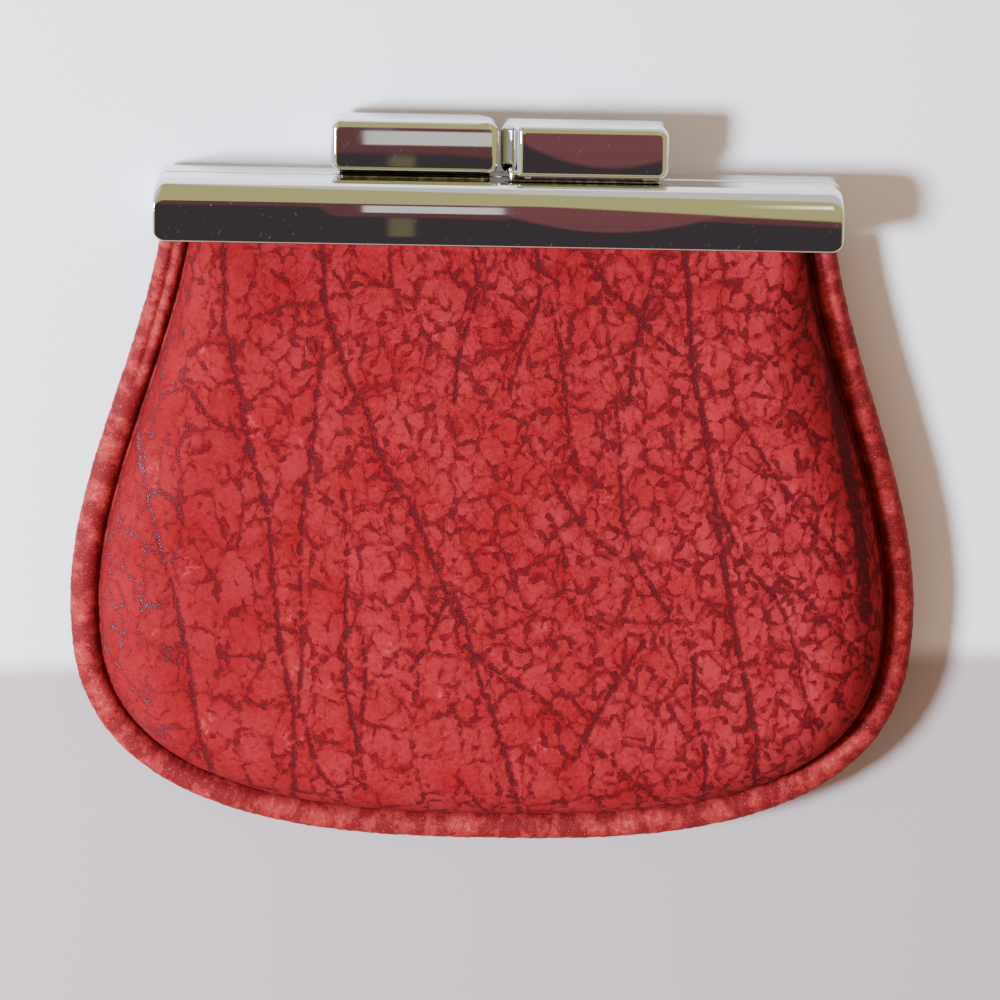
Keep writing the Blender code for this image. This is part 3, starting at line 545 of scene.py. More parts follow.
LEATHER_FLUSH_AND_SHADE, CRACK_MAROON = (0.145, 0.0042, 0.006, 1), (0.060, 0.003, 0.004, 1)
WORN_AND_LIT_PINK, CRACK_GLINT = (0.50, 0.05, 0.065, 1), (0.30, 0.22, 0.30, 1)

# The long creases of the hide, each as points (percent of half the width, percent of the height)
CREASE_PERCENTS = (
    ((-76, 88), (-81, 80), (-84, 71), (-83, 65), (-81, 60), (-78, 52), (-74, 43), (-71, 33),
     (-69, 23), (-66, 13), (-65, 7)),
    ((-64, 103), (-63, 94), (-63, 86), (-61, 84), (-60, 79), (-58, 72), (-56, 65), (-54, 62),
     (-52, 55), (-51, 45), (-49, 34), (-46, 25), (-46, 5)),
    ((-40, 85), (-41, 78), (-42, 70), (-43, 64), (-44, 60), (-45, 49), (-44, 34), (-45, 25)),
    ((-44, 24), (-42, 19), (-40, 14), (-35, 10), (-33, 5)),
    ((-41, 103), (-40, 95), (-40, 91), (-37, 86), (-34, 79), (-30, 75), (-27, 68), (-23, 62),
     (-20, 60), (-15, 52), (-10, 44), (-6, 40), (-4, 33), (1, 24), (6, 13), (8, 5)),
    ((-35, 61), (-34, 52), (-34, 39), (-34, 29), (-31, 19), (-29, 11)),
    ((-30, 37), (-29, 29), (-31, 19)),
    ((-10, 44), (-15, 36), (-19, 31)),
    ((-6, 36), (3, 31), (13, 27), (21, 21), (29, 17), (35, 13), (43, 8)),
    ((42, 103), (44, 96), (45, 87), (46, 80), (49, 72), (51, 62), (54, 51), (56, 43), (58, 35),
     (61, 28), (63, 20), (63, 8)),
    ((28, 76), (29, 70), (30, 57), (33, 51), (38, 45), (45, 39), (48, 33), (48, 25), (51, 19),
     (51, 8)),
    ((57, 74), (61, 69), (67, 63), (73, 58), (80, 52), (84, 46)),
    ((49, 65), (59, 50), (66, 45), (69, 41), (72, 34), (74, 28), (78, 22)),
    ((73, 101), (74, 92), (78, 82), (80, 73), (83, 64), (86, 54), (88, 41)),
    ((21, 98), (29, 92), (35, 88), (40, 85), (46, 83)),
    ((12, 93), (15, 85), (16, 79), (17, 71), (20, 65)),
    ((-6, 100), (-4, 93), (-7, 87), (-9, 82), (-9, 76)),
    ((-71, 77), (-67, 73), (-60, 70), (-58, 67)),
    ((14, 63), (22, 55), (31, 50)),
    ((14, 56), (17, 51), (17, 45), (20, 42), (26, 39)),
    ((9, 101), (10, 92), (6, 84), (3, 77)),
    ((38, 101), (35, 93), (32, 85), (31, 76)),
    ((64, 50), (74, 44), (83, 37), (90, 33)),
    ((36, 37), (27, 27), (20, 17)),
)
# Creases that are wider than the rest: how many millimetres more, by their place above
WIDE_CREASES = {13: 0.5, 9: 0.12, 4: 0.1, 1: 0.08}
# Where the hide shrank most: percent of half the width, percent of the height, and reach
SHRUNKEN_PERCENTS = (
    (0, 74, 28), (30, 62, 25), (42, 90, 30), (12, 95, 22), (45, 45, 22), (70, 60, 22),
    (55, 25, 25), (-15, 66, 20), (85, 42, 16), (0, 50, 16), (-45, 93, 14), (72, 80, 20),
)


def outer_edge():
    """The pouch's outline from the top left corner round to the top right. Above the widest
    line the half width leans in by an eased cosine and a power; below it is a superellipse."""
    widest_y = BAR_BOTTOM - WIDEST_DROP
    side_y = np.linspace(BAR_TOP, widest_y, SIDE_POINTS)[:-1]
    share = np.clip((side_y - widest_y) / WIDEST_DROP, 0, 1)
    eased = (1 - np.cos(math.pi * share)) / 2
    lean = SIDE_EASE_SHARE * eased + (1 - SIDE_EASE_SHARE) * share**SIDE_POWER_SHARE
    half_width = (BODY_WIDTH - (BODY_WIDTH - MOUTH_WIDTH) * lean) / 2
    left = np.stack([-half_width, side_y], axis=1)
    angle = np.linspace(0, math.pi, ARC_POINTS + 1)
    power = 2 / CORNER_POWER_SHARE
    across = -np.sign(np.cos(angle)) * np.abs(np.cos(angle)) ** power * BODY_WIDTH / 2
    drop = np.abs(np.sin(angle)) ** power * (widest_y - BODY_BOTTOM)
    bottom = np.stack([across, widest_y - drop], axis=1)
    return np.concatenate([left, bottom, left[::-1] * (-1, 1)])


def at_shares(line, shares):
    """Points at shares of a line's whole length."""
    run = run_along(line)
    return np.stack([np.interp(shares * run[-1], run, line[:, k]) for k in (0, 1)], axis=1)


def depth_under_leather(y, start_top, start_low):
    """A layer lies close under the leather by the frame and under the foam further down."""
    share = smooth_step((HINGE_Y - RAMP_DROP - y) / LINING_RAMP)
    return start_top + (start_low - start_top) * share


def inward_of(line):
    """Unit vectors square to a line, on its left."""
    along = np.gradient(line, axis=0)
    along /= np.linalg.norm(along, axis=1)[:, None]
    return np.stack([-along[:, 1], along[:, 0]], axis=1)


def inset_edge(start_top, start_low):
    """The outline drawn in square to itself, by one distance at the frame and one lower down."""
    line = at_shares(outer_edge(), np.linspace(0, 1, EDGE_POINTS))
    return line + inward_of(line) * depth_under_leather(line[:, 1], start_top, start_low)[:, None]


def below(line, y):
    """The stretch of an edge line under a level, with its ends on that level."""
    keep = np.flatnonzero(line[:, 1] < y)
    ends = []
    for a, b in ((line[keep[0] - 1], line[keep[0]]), (line[keep[-1]], line[keep[-1] + 1])):
        ends.append(a + (y - a[1]) / (b[1] - a[1]) * (b - a))
    return np.concatenate([ends[:1], line[keep], ends[1:]])


def nearest_on(line, points):
    """The least distance from each row of points to a line, and the way there."""
    start, step = line[:-1], np.diff(line, axis=0)
    squared = (step * step).sum(-1)
    distances, ways = [], []
    for row in points:
        offset = row[:, None] - start[None]
        share = np.clip((offset * step).sum(-1) / squared, 0, 1)
        away = offset - share[..., None] * step
        length = np.sqrt((away * away).sum(-1))
        best = length.argmin(axis=1)
        pick = np.arange(len(row))
        distances.append(length[pick, best])
        ways.append(away[pick, best])
    return np.array(distances), np.array(ways)


def rise_below_bar(y):
    """How far the pouch has swelled below the bar, 0 to 1: a quarter sine wave to a power."""
    share = np.clip((BAR_BOTTOM - PIECE_GAP - y) / CROWN_RISE, 0, 1)
    return np.sin(share * math.pi / 2) ** CROWN_RISE_POWER_SHARE


def spread(count, both_ends):
    """Shares from 0 to 1, closer together at the edges that curve most."""
    even = np.linspace(0, 1, count + 1)
    eased = (1 - np.cos(math.pi * even)) / 2 if both_ends else 1 - np.cos(math.pi * even / 2)
    return even + SPREAD_SHARE * (eased - even)


def layer_face(side, start_top, start_low, top_y, columns, rows):
    """A face of the pouch as a grid from its foot up to top_y. In plan it is blended from its
    four edges. Its height over the middle plane rises from the rim like a quarter ellipse,
    height = rim + (crown - rim) sqrt(1 - (1 - distance / shoulder)^2)."""
    edge = inset_edge(RIM_INSET + start_top, RIM_INSET + start_low)
    reach = below(edge, top_y)
    corner = int(CORNER_SHARE * len(reach))
    u, v = spread(columns, True), spread(rows, False)
    low, high = at_shares(reach[corner:-corner], u), at_shares(reach[[0, -1]], u)
    near, far = at_shares(reach[: corner + 1][::-1], v), at_shares(reach[-corner - 1 :], v)
    u, v = u[None, :, None], v[:, None, None]
    plan = (1 - v) * low + v * high + (1 - u) * near[:, None] + u * far[:, None]
    plan -= (1 - u) * (1 - v) * low[0] + u * (1 - v) * low[-1]
    plan -= (1 - u) * v * high[0] + u * v * high[-1]
    x, y = plan[..., 0], plan[..., 1]
    start = depth_under_leather(y, start_top, start_low)
    rise = rise_below_bar(y)
    shoulder = SHOULDER_AT_BAR + (SHOULDER_IN_BODY - SHOULDER_AT_BAR) * rise
    shoulder = np.maximum(shoulder - start, SHOULDER_LEAST)
    distance, away = nearest_on(edge, plan)
    share = np.clip(distance / shoulder, 0, 1)
    rim = RIM_AT_BAR + (RIM_IN_BODY - RIM_AT_BAR) * smooth_step(rise)
    full = FRONT_CROWN if side == FRONT else REAR_CROWN
    sag = 1 - CROWN_SAG_SHARE * (2 * x / BODY_WIDTH) ** 2
    crown = CROWN_AT_BAR + (full * sag - CROWN_AT_BAR) * rise - start
    height = rim + (crown - rim) * np.sqrt(1 - (1 - share) ** 2)
    if side == REAR:
        height = np.minimum(height, MIDDLE - start)
    face = np.stack([x, y, MIDDLE + side * height], axis=-1)
    turn = np.arcsin(1 - share)
    unrolled = (shoulder + crown - rim) / 2 * (turn - np.sin(turn))
    away /= np.maximum(distance, 0.00001)[..., None]
    return face, plan - away * unrolled[..., None], share


def closed_sheet(name, outer, inner, ratio, material, flip):
    """A sheet between two grids, the inner one coarser by a whole ratio, closed round its rim."""
    rows, columns = outer.shape[:2]
    sides = []
    start = 0
    for grid in (outer, inner):
        index = np.arange(grid.shape[0] * grid.shape[1]).reshape(grid.shape[:2]) + start
        sides.append(index)
        start += index.size
    faces = []
    for index, turned in zip(sides, (flip, not flip)):
        quads = grid_quads(index)
        faces += (quads[:, ::-1] if turned else quads).tolist()
    rims = [rim_of(index).tolist() for index in sides]
    count = len(rims[1])
    for j in range(count):
        fine = [rims[0][(j * ratio + k) % len(rims[0])] for k in range(ratio + 1)]
        face = fine[::-1] + [rims[1][j], rims[1][(j + 1) % count]]
        faces.append(face[::-1] if flip else face)
    points = np.concatenate([outer.reshape(-1, 3), inner.reshape(-1, 3)])
    return new_piece(name, points, faces, material, 60)


def keep_attribute(piece, name, values, kind="FLOAT"):
    """Stores a number or a vector for each point of a mesh."""
    attribute = piece.data.attributes.new(name, kind, "POINT")
    field = "vector" if kind == "FLOAT_VECTOR" else "value"
    attribute.data.foreach_set(field, np.ascontiguousarray(values, np.float32).ravel())


def keep_places(piece, grids):
    """Stores each point's place on the flat sheet, in millimetres."""
    places = np.concatenate([np.insert(grid.reshape(-1, 2), 2, 0, axis=1) for grid in grids])
    keep_attribute(piece, "flat_place", places * 1000, "FLOAT_VECTOR")


def crease_distance(plan, mirrored):
    """Distance in metres from each point of a grid to the edge of the nearest long crease."""
    least = np.full(plan.shape[:2], 1.0)
    for number, percents in enumerate(CREASE_PERCENTS):
        line = np.array(percents) / 100 * (BODY_WIDTH / 2, BAR_BOTTOM - BODY_BOTTOM)
        line[:, 1] += BODY_BOTTOM
        if mirrored:
            line[:, 0] *= -1
        knots = np.linspace(0, 1, 4 * len(line))
        distance = nearest_on(at_shares(line, knots), plan)[0]
        least = np.minimum(least, distance - WIDE_CREASES.get(number, 0) / 1000)
    return np.maximum(least, 0)


def shrunken_share(plan, mirrored):
    """How closely the hide is crackled, 0 to 1: a sum of soft round patches."""
    total = np.zeros(plan.shape[:2])
    for across, up, reach in np.array(SHRUNKEN_PERCENTS) / 100:
        across = -across if mirrored else across
        x = plan[..., 0] / (BODY_WIDTH / 2) - across
        y = (plan[..., 1] - BODY_BOTTOM) / (BAR_BOTTOM - BODY_BOTTOM) - up
        total += np.exp(-((x / reach) ** 2) - (y / reach) ** 2)
    return np.clip(total, 0, 1)


def crackled_finish():
    """Nets of cracks at three sizes. Their place is drawn towards the middle of the nearest
    small pebble of hide, which scallops their edges; their width wanders, so that they thin out
    and break off. The old red shows darker beside them, and the nap between them is rubbed
    rosy. The long creases are drawn through them. Painted shade darkens the left side and the
    rim by the seam, painted light pales the right side, and the cracks by the left edge carry
    painted glints. All sizes are millimetres."""
    material, wire = new_finish("crackled_leather", Specular_IOR_Level=0.03)
    place = wire.stored("flat_place", 1)
    crease = wire.stored("crease_reach")
    shrunken = wire.stored("shrunken")
    seam_shade = wire.stored("seam_shade")
    across = place.axis(0)

    def patches(x, y, scale, detail=3.0, roughness=0.6):
        """Noise read at a place of its own, so that no two of them agree."""
        return place.moved((x, y, 0)).noise(scale, detail, roughness, "2D")

    def wander(vector, scale, reach, offset):
        """A place moved about by a noise of that scale, by up to half the reach each way."""
        shift = place.moved(offset).noise(scale, 2.0, 0.5, "2D", 1)
        shift = shift.moved((-0.5 * reach, -0.5 * reach, 0), (reach, reach, 0))
        return vector.plus(shift)

    def pebbled(vector, scale, share):
        """A place drawn by a share of the way to the middle of the nearest pebble."""
        middle = vector.cells(scale, "SMOOTH_F1", 2, Smoothness=0.25)
        values = {0: share, 4: vector, 5: middle}
        return wire.add("ShaderNodeMix", {"data_type": "VECTOR"}, values, 1)

    def net(seed_place, scale):
        """Distance in millimetres to the nearest edge between the cells."""
        return seed_place.cells(scale, "DISTANCE_TO_EDGE") / scale

    def band(distance, half_width, soft):
        """1 within the half width of a crack's middle line, falling to 0 over a soft edge."""
        return 1 - (distance - half_width).step(-soft, soft)

    grain = place.noise(7.0, 3.0, 0.7, "2D")
    middling = patches(31, 7, 1.6, 2.0, 0.55)
    broad = patches(3, 17, 0.13, 2.0, 0.5)
    large_gate, medium_gate = patches(61, 40, 0.24), patches(11, 90, 0.35)
    small_gate = patches(75, 12, 0.6)
    ragged = (grain - 0.5) * 0.3
    bent = wander(wander(place, 0.25, 2.0, (0, 0, 0)), 1.0, 0.5, (9, 5, 0))
    pebbles = pebbled(wander(bent, 3.0, 0.3, (5, 2, 0)), PEBBLES, 0.7)
    large = net(pebbles.moved((0, 0, 0), (1.05, 0.7, 1)), LARGE_NET) + ragged
    medium = net(pebbles.moved((4, 9, 0), (1.05, 0.78, 1)), MEDIUM_NET) + ragged
    small = net(bent.moved((8, 3, 0), (1.0, 0.85, 1)), SMALL_NET) + ragged
    crease_edge = crease + ragged + (0.45 - bent.cells(LUMPS)) * 0.55 + (middling - 0.5) * 0.4
    by_crease = 1 - crease.step(0.3, 2.2)
    large_width = ((large_gate - 0.40) * 1.1 + shrunken * 0.05).at_most(0.16)
    medium_width = (medium_gate - 0.53 + shrunken * 0.11 + by_crease * 0.03) * 1.1
    medium_width = medium_width.at_most(0.12)
    small_width = (small_gate - 0.66 + shrunken * 0.1 + by_crease * 0.06) * 1.2
    small_width = small_width.at_most(0.08)

    cracks = band(large, large_width, 0.15).at_least(band(medium, medium_width, 0.13))
    cracks = cracks.at_least(band(small, small_width, 0.15) * 0.6)
    core = band(crease_edge, 0.22, 0.16)
    flush = band(large, large_width + 0.15, 0.35).at_least(band(crease_edge, 0.35, 0.45))
    flush = flush.at_least(band(medium, medium_width + 0.1, 0.28))
    rosy = (broad * 0.35 + middling * 0.3 + grain * 0.35).step(0.4, 0.6)
    nap = rosy.mixed(LEATHER_RED, LEATHER_ROSE)
    # Darker towards the left: painted shade that evens out the lamp's stronger light there.
    nap = (across.step(-10.0, -44.0) * 0.4).mixed(nap, LEATHER_FLUSH_AND_SHADE)
    # Paler towards the right: painted light on the side that the lamp leaves in shade.
    nap = (across.step(4.0, 46.0) * 0.2).mixed(nap, WORN_AND_LIT_PINK)
    worn = patches(90, 20, 0.16).step(0.66, 0.76)
    nap = (worn * middling.step(0.35, 0.7) * (1 - flush) * 0.5).mixed(nap, WORN_AND_LIT_PINK)
    nap = ((1 - grain.step(0.3, 0.5)) * 0.3).mixed(nap, LEATHER_FLUSH_AND_SHADE)
    colour = (flush * 0.62).mixed(nap, LEATHER_FLUSH_AND_SHADE)
    colour = (cracks * 0.84).mixed(colour, CRACK_MAROON)
    colour = (core * 0.92).mixed(colour, CRACK_MAROON)
    # Darker near the rim, where the panel turns down to the seam: painted shade.
    colour = (seam_shade * 0.2).mixed(colour, CRACK_MAROON)
    cracks = cracks.at_least(core)
    # By the left edge the cracks are glossier, and their bluish-grey colour is a painted glint.
    by_edge = across.step(-36.0, -46.0) * 0.7 + 0.12
    polished = cracks * by_edge * grain.step(0.52, 0.66)
    colour = polished.mixed(colour, CRACK_GLINT)
    normal = ((1 - cracks) * 0.7 + (1 - flush) * 0.3).bump(0.0001, 0.6)
    normal = (grain * 0.7 + middling * 0.3).bump(0.00005, 0.5, normal)
    return connect(material, Base_Color=colour, Roughness=0.72 - polished * 0.3, Normal=normal)


def leather_panel(name, side, columns, rows, ratio, mirrored):
    """The panel's outer face, sunk in soft valleys along the long creases, over a plain inner
    face one leather's thickness in."""
    outer, flat, share = layer_face(side, 0.0, 0.0, TUCK_Y, columns, rows)
    start = LEATHER_THICKNESS
    inner = layer_face(side, start, start, TUCK_Y, columns // ratio, rows // ratio)[0]
    crease = crease_distance(outer[..., :2], mirrored)
    valley = CREASE_VALLEY * np.exp(-((crease / CREASE_VALLEY_WIDTH) ** 2))
    valley = valley * smooth_step(share * 1.5)
    sunk = outer.copy()
    sunk[..., 2] -= side * valley * rise_below_bar(outer[..., 1])
    if side == REAR:
        sunk[..., 2] = np.maximum(sunk[..., 2], 0.0)
    panel = closed_sheet(name, sunk, inner, ratio, crackled, side == REAR)
    keep_places(panel, [flat, flat[::ratio, ::ratio]])
    # Painted shade by the seam: strongest at the rim, gone a third of the way across the shoulder.
    seam_shade = (1 - smooth_step(share * 3.0)) * 0.8
    for word, grid in (
        ("crease_reach", crease * 1000),
        ("shrunken", shrunken_share(outer[..., :2], mirrored)),
        ("seam_shade", seam_shade),
    ):
        keep_attribute(panel, word, np.concatenate([grid.ravel(), grid[::ratio, ::ratio].ravel()]))
    return panel


crackled = crackled_finish()
front_leather = leather_panel("front_leather", FRONT, 300, 264, 4, False)
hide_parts("front_panel", "front_panel_top")
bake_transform(front_leather)
rear_leather = leather_panel("rear_leather", REAR, 240, 220, 4, True)
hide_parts("rear_panel")
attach(rear_leather, "pouch")

# Padding. A sheet of soft open foam behind each leather panel, from the foot of the pouch to
# just below the hinge, glued to the leather's back.

FOAM_WHITE, FOAM_SHADE = (0.86, 0.83, 0.75, 1), (0.62, 0.57, 0.47, 1)


def foam_finish():
    """Open cells about half a millimetre across in an off-white foam."""
    material, wire = new_finish("open_foam", Roughness=0.95)
    place = millimetres(wire)
    cells = place.cells(2.2, "SMOOTH_F1", dimensions="3D", Smoothness=0.4)
    # Darker in the hollow of each cell: painted shade.
    colour = (cells * 0.8 + place.noise(0.3) * 0.3).mixed(FOAM_SHADE, FOAM_WHITE)
    return connect(material, Base_Color=colour, Normal=cells.bump(0.00018, 0.8))


foam = foam_finish()
for word, side in (("front", FRONT), ("rear", REAR)):
    start = LEATHER_THICKNESS + PIECE_GAP
    faces = [
        layer_face(side, at, at, HINGE_Y - FOAM_DROP, 120, 90)[0]
        for at in (start, start + FOAM_THICKNESS)
    ]
    pad = closed_sheet(word + "_foam_pad", *faces, 1, foam, side == REAR)
    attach(pad, "pouch")
    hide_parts(word + "_padding")

# Lining. Plain woven cotton, cut to the pouch's outline and drawn smooth over the foam; its
# upper edge is tucked into the channel with the leather's.

THREAD = 0.36
LINING_RED, LINING_SHADE = (0.33, 0.022, 0.035, 1), (0.13, 0.006, 0.012, 1)


def woven_finish():
    """Over-and-under threads: two rows of half waves that trade places like a draughtboard."""
    material, wire = new_finish(
        "woven_cotton", Roughness=0.88, Sheen_Weight=0.25, Sheen_Roughness=0.5
    )
    place = wire.stored("flat_place", 1)
    shift = place.noise(0.5, 2.0, 0.5, "2D", 1).moved((-0.1, -0.1, 0), (0.2, 0.2, 0))
    place = place.plus(shift)
    across = place.axis(0)
    along = place.axis(1)
    warp = (across * (math.pi / THREAD)).maths("SINE")
    weft = (along * (math.pi / THREAD)).maths("SINE")
    over = (warp * weft).step(-0.15, 0.15)
    height = over * warp.maths("ABSOLUTE") + (1 - over) * weft.maths("ABSOLUTE")
    fibres = place.noise(12.0, 2.0, 0.6, "2D")
    # Darker where the threads dip under each other: painted shade in the weave.
    colour = (height * 0.75 + fibres * 0.3).mixed(LINING_SHADE, LINING_RED)
    return connect(material, Base_Color=colour, Normal=(height + fibres * 0.2).bump(0.00007, 0.8))


def sheet_area(grid):
    """The area of a grid of points, as two triangles a cell."""
    a, b, c, d = grid[:-1, :-1], grid[:-1, 1:], grid[1:, 1:], grid[1:, :-1]
    return sum(
        np.linalg.norm(np.cross(p - a, q - a), axis=-1).sum() / 2 for p, q in ((b, c), (c, d))
    )


woven = woven_finish()
for word, side in (("front", FRONT), ("rear", REAR)):
    top, low = LEATHER_THICKNESS + PIECE_GAP, LEATHER_THICKNESS + 2 * PIECE_GAP + FOAM_THICKNESS
    grids = [
        layer_face(side, top + at, low + at, TUCK_Y, 200, 180) for at in (0.0, LINING_THICKNESS)
    ]
    lining = closed_sheet(word + "_cotton_lining", grids[0][0], grids[1][0], 1, woven, side == REAR)
    keep_places(lining, [grids[0][1], grids[1][1]])
    area = float(sheet_area((grids[0][0] + grids[1][0]) / 2))
    if side == FRONT:
        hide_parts("front_lining", "front_lining_top")
        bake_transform(lining)
    else:
        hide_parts("rear_lining")
        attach(lining, "pouch")

# Piping. A strip of the same leather, worn on its ridge, is stretched round a cord and sewn
# between the panels; its two edges run in together as the seam's tail.

PIPING_BORE, SEAM_REACH, PIPING_CORD_RADIUS, PIPING_CORD_PITCH = 0.0012, 0.003, 0.0009, 0.006
PIPING_SALMON, PIPING_RED = (0.27, 0.019, 0.020, 1), (0.13, 0.0052, 0.0075, 1)
PIPING_WORN_AND_LIT, PIPING_GLINT = (0.44, 0.070, 0.062, 1), (0.80, 0.58, 0.55, 1)
PIPING_RINGS, PIPING_SIDES, SEAM_FADE = 940, 46, 0.5
# The furrow beside the bar: depth, level where it starts, rise to its full depth, angle, spread
FURROW, FURROW_FOOT, FURROW_RISE, FURROW_ANGLE, FURROW_SPREAD = 0.0005, 0.008, 0.012, 1.45, 0.3
# Wrinkles: waves to a millimetre of length (radians), waves round the tube, phase
WRINKLE = 0.00009
WAVES = ((1.3, 0, 0.3), (2.1, 1, 1.9), (3.4, 1, 4.1), (4.7, 2, 0.7), (0.7, 1, 2.6), (6.3, 1, 5.2))
# The seam's tail: share of its reach, and side of the middle
TAIL = ((0.72, -1), (0.98, -1), (1, 0), (0.98, 1), (0.72, 1))


def piping_finish():
    """Salmon, blotched with the old red. Its ridge is paler, partly from wear and partly as a
    painted highlight, and flecked with painted glints where it is smoother.
    """
    material, wire = new_finish("piping_leather", Specular_IOR_Level=0.1)
    place = wire.stored("flat_place", 1)
    ridge = wire.stored("ridge")
    blotch = place.moved((0, 0, 0), (0.8, 0.6, 1)).noise(0.42, 3.0, 0.6, "2D")
    grain = place.noise(4.5, 4.0, 0.7, "2D")
    fine = place.moved((7, 3, 0)).noise(1.6, 3.0, 0.6, "2D")
    red = (blotch * 0.8 + fine * 0.2).step(0.46, 0.55) * 0.85
    colour = red.mixed(PIPING_SALMON, PIPING_RED)
    # Paler on the ridge, the top of the tube: partly wear and partly a painted highlight.
    pale = ridge * fine.step(0.45, 0.62) * (1 - blotch.step(0.36, 0.48)) * 0.55
    colour = pale.mixed(colour, PIPING_WORN_AND_LIT)
    pores = (1 - grain.step(0.33, 0.45)) * 0.5
    colour = pores.mixed(colour, PIPING_RED)
    # Bright specks on the ridge: painted glints, where the leather is also smoother.
    glints = ridge * grain.step(0.66, 0.72) * blotch.step(0.44, 0.56)
    colour = (glints * 0.55).mixed(colour, PIPING_GLINT)
    roughness = 0.58 - glints * 0.25 + grain * 0.1
    normal = (grain * 0.5 + fine * 0.5).bump(0.00012, 0.8)
    return connect(material, Base_Color=colour, Roughness=roughness, Normal=normal)


def wrinkles(run, angle):
    """A sum of sine waves along and round the tube, with fixed phases."""
    total = sum(np.sin(k * run * 1000 + m * angle + phase) for k, m, phase in WAVES)
    return WRINKLE * total / len(WAVES)


piping_leather = piping_finish()
line = below(inset_edge(PIPING_RADIUS, PIPING_RADIUS), BAR_BOTTOM - PIECE_GAP)
line = at_shares(line, np.linspace(0, 1, PIPING_RINGS))
inward = np.insert(inward_of(line), 2, 0, axis=1)
path = np.insert(line, 2, MIDDLE, axis=1)
run = run_along(line)[:, None]
lead = math.asin(SEAM_THICKNESS / 2 / PIPING_RADIUS)
angle = np.linspace(lead, 2 * math.pi - lead, PIPING_SIDES + 1)[None]
fade = np.clip(np.minimum(angle - lead, 2 * math.pi - lead - angle) / SEAM_FADE, 0, 1)
top_share = smooth_step((line[:, 1:2] - FURROW_FOOT) / FURROW_RISE)
furrow = FURROW * top_share * np.exp(-(((angle - FURROW_ANGLE) / FURROW_SPREAD) ** 2))
radius = PIPING_RADIUS + (wrinkles(run, angle) - WRINKLE / 2) * fade - furrow
tube = np.stack([radius * np.cos(angle), radius * np.sin(angle)], axis=-1)
reach = PIPING_RADIUS + SEAM_REACH
tail = np.array(TAIL) * (reach, SEAM_THICKNESS / 2)
tail = np.broadcast_to(tail, (len(line), *tail.shape))
outline = np.concatenate([tube, tail], axis=1)
bore_angle = np.linspace(lead, 2 * math.pi - lead, outline.shape[1])[None]
bore = PIPING_BORE * np.stack([np.cos(bore_angle), np.sin(bore_angle)], axis=-1)
bore = np.broadcast_to(bore, outline.shape)
shells = [
    path[:, None] + shell[..., :1] * inward[:, None] + shell[..., 1:] * UPWARD
    for shell in (outline, bore)
]
count, points = outline.shape[:2]
quads = ring_faces(count, points)
faces = quads[:, ::-1].tolist() + (quads + count * points).tolist()
near, inner = np.arange(points), count * points
for ring, way in ((0, 1), (count - 1, -1)):
    a, b = ring * points + near, ring * points + np.roll(near, -1)
    faces += np.stack([a, b, b + inner, a + inner], axis=1)[:, ::way].tolist()
piping = new_piece("worn_piping", np.stack(shells), faces, piping_leather, 50)
around = np.broadcast_to(PIPING_RADIUS * bore_angle, (count, points))
keep_places(piping, [np.stack([np.broadcast_to(run, around.shape), around], axis=-1)] * 2)
ridge = np.clip(np.sin(np.broadcast_to(bore_angle, around.shape)), 0, 1) ** 0.7
keep_attribute(piping, "ridge", np.tile(ridge.ravel(), 2))
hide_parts("piping", "piping_top_left", "piping_top_right")
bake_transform(piping)

rings = twisted_rings(path[::2], inward[::2], UPWARD, PIPING_CORD_RADIUS, PIPING_CORD_PITCH)
piping_cord = tube_piece("piping_filler_cord", rings, twisted_paper, flip=True)
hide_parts("piping_cord", "piping_cord_top_left", "piping_cord_top_right")
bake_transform(piping_cord)

# Studio. A pale paper floor, a soft lamp to the left and warmer, dimmer light all round. The
# chrome mirrors a room: a pale ceiling, a khaki wall, and dark and mauve things before it.

PAPER_PALE, PAPER_SHADE = (0.86, 0.865, 0.885, 1), (0.43, 0.37, 0.375, 1)
LAMP_PLACE, LAMP_SIZE, LAMP_POWER = (-0.42, -0.01, 0.50), 0.15, 14.8
LAMP_COLOUR, ROOM_LIGHT = (0.79, 0.86, 1.0), (0.66, 0.455, 0.32, 1)
ROOM_PALE, ROOM_KHAKI, ROOM_CREAM = (1.0, 1.0, 0.95, 1), (0.67, 0.615, 0.26, 1), (2.5, 2.4, 1.85, 1)
ROOM_DARK, ROOM_BROWN = (0.065, 0.053, 0.061, 1), (0.175, 0.070, 0.075, 1)
ROOM_MAUVE, ROOM_ROSE = (0.26, 0.092, 0.10, 1), (1.0, 0.72, 0.70, 1)
FLOOR_REACH, FOLD_SLOPE, FOLD_BORDER = 1.2, 0.035, (-25.5, -21.5)
# Where one band of the room goes over into the next, in radians
CEILING_BORDER, ROSE_BORDER, WEST_BORDER = (0.98, 1.12), (-0.95, -0.6), (-0.55, -0.35)
FOOT_BORDER, DARK_BORDER, LENS_BORDER = (-0.172, -0.166), (-0.192, -0.186), (-0.003, 0.003)
LENS_EAST, LENS_HALF_WIDTH, LENS_FOOT, LENS_RISE = 0.0185, 0.018, 0.190, 0.033
# Patches of the room: two borders and their softness, first towards the east and then in height
FACE_PATCH = (-0.16, 0.16, 0.04), (-0.55, 0.4, 0.08)
CREAM_PATCH = (0.052, 0.09, 0.012), (0.02, 0.32, 0.09)
WINDOW_PATCH = (-0.0253, -0.0004, 0.0004), (-0.1885, -0.174, 0.0008)
STREAK_PATCH = (-0.0335, 0.0, 0.004), (-0.1695, -0.1620, 0.002)
PILLAR_PATCH = (-0.0207, -0.0162, 0.0008), (-0.240, -0.200, 0.004)


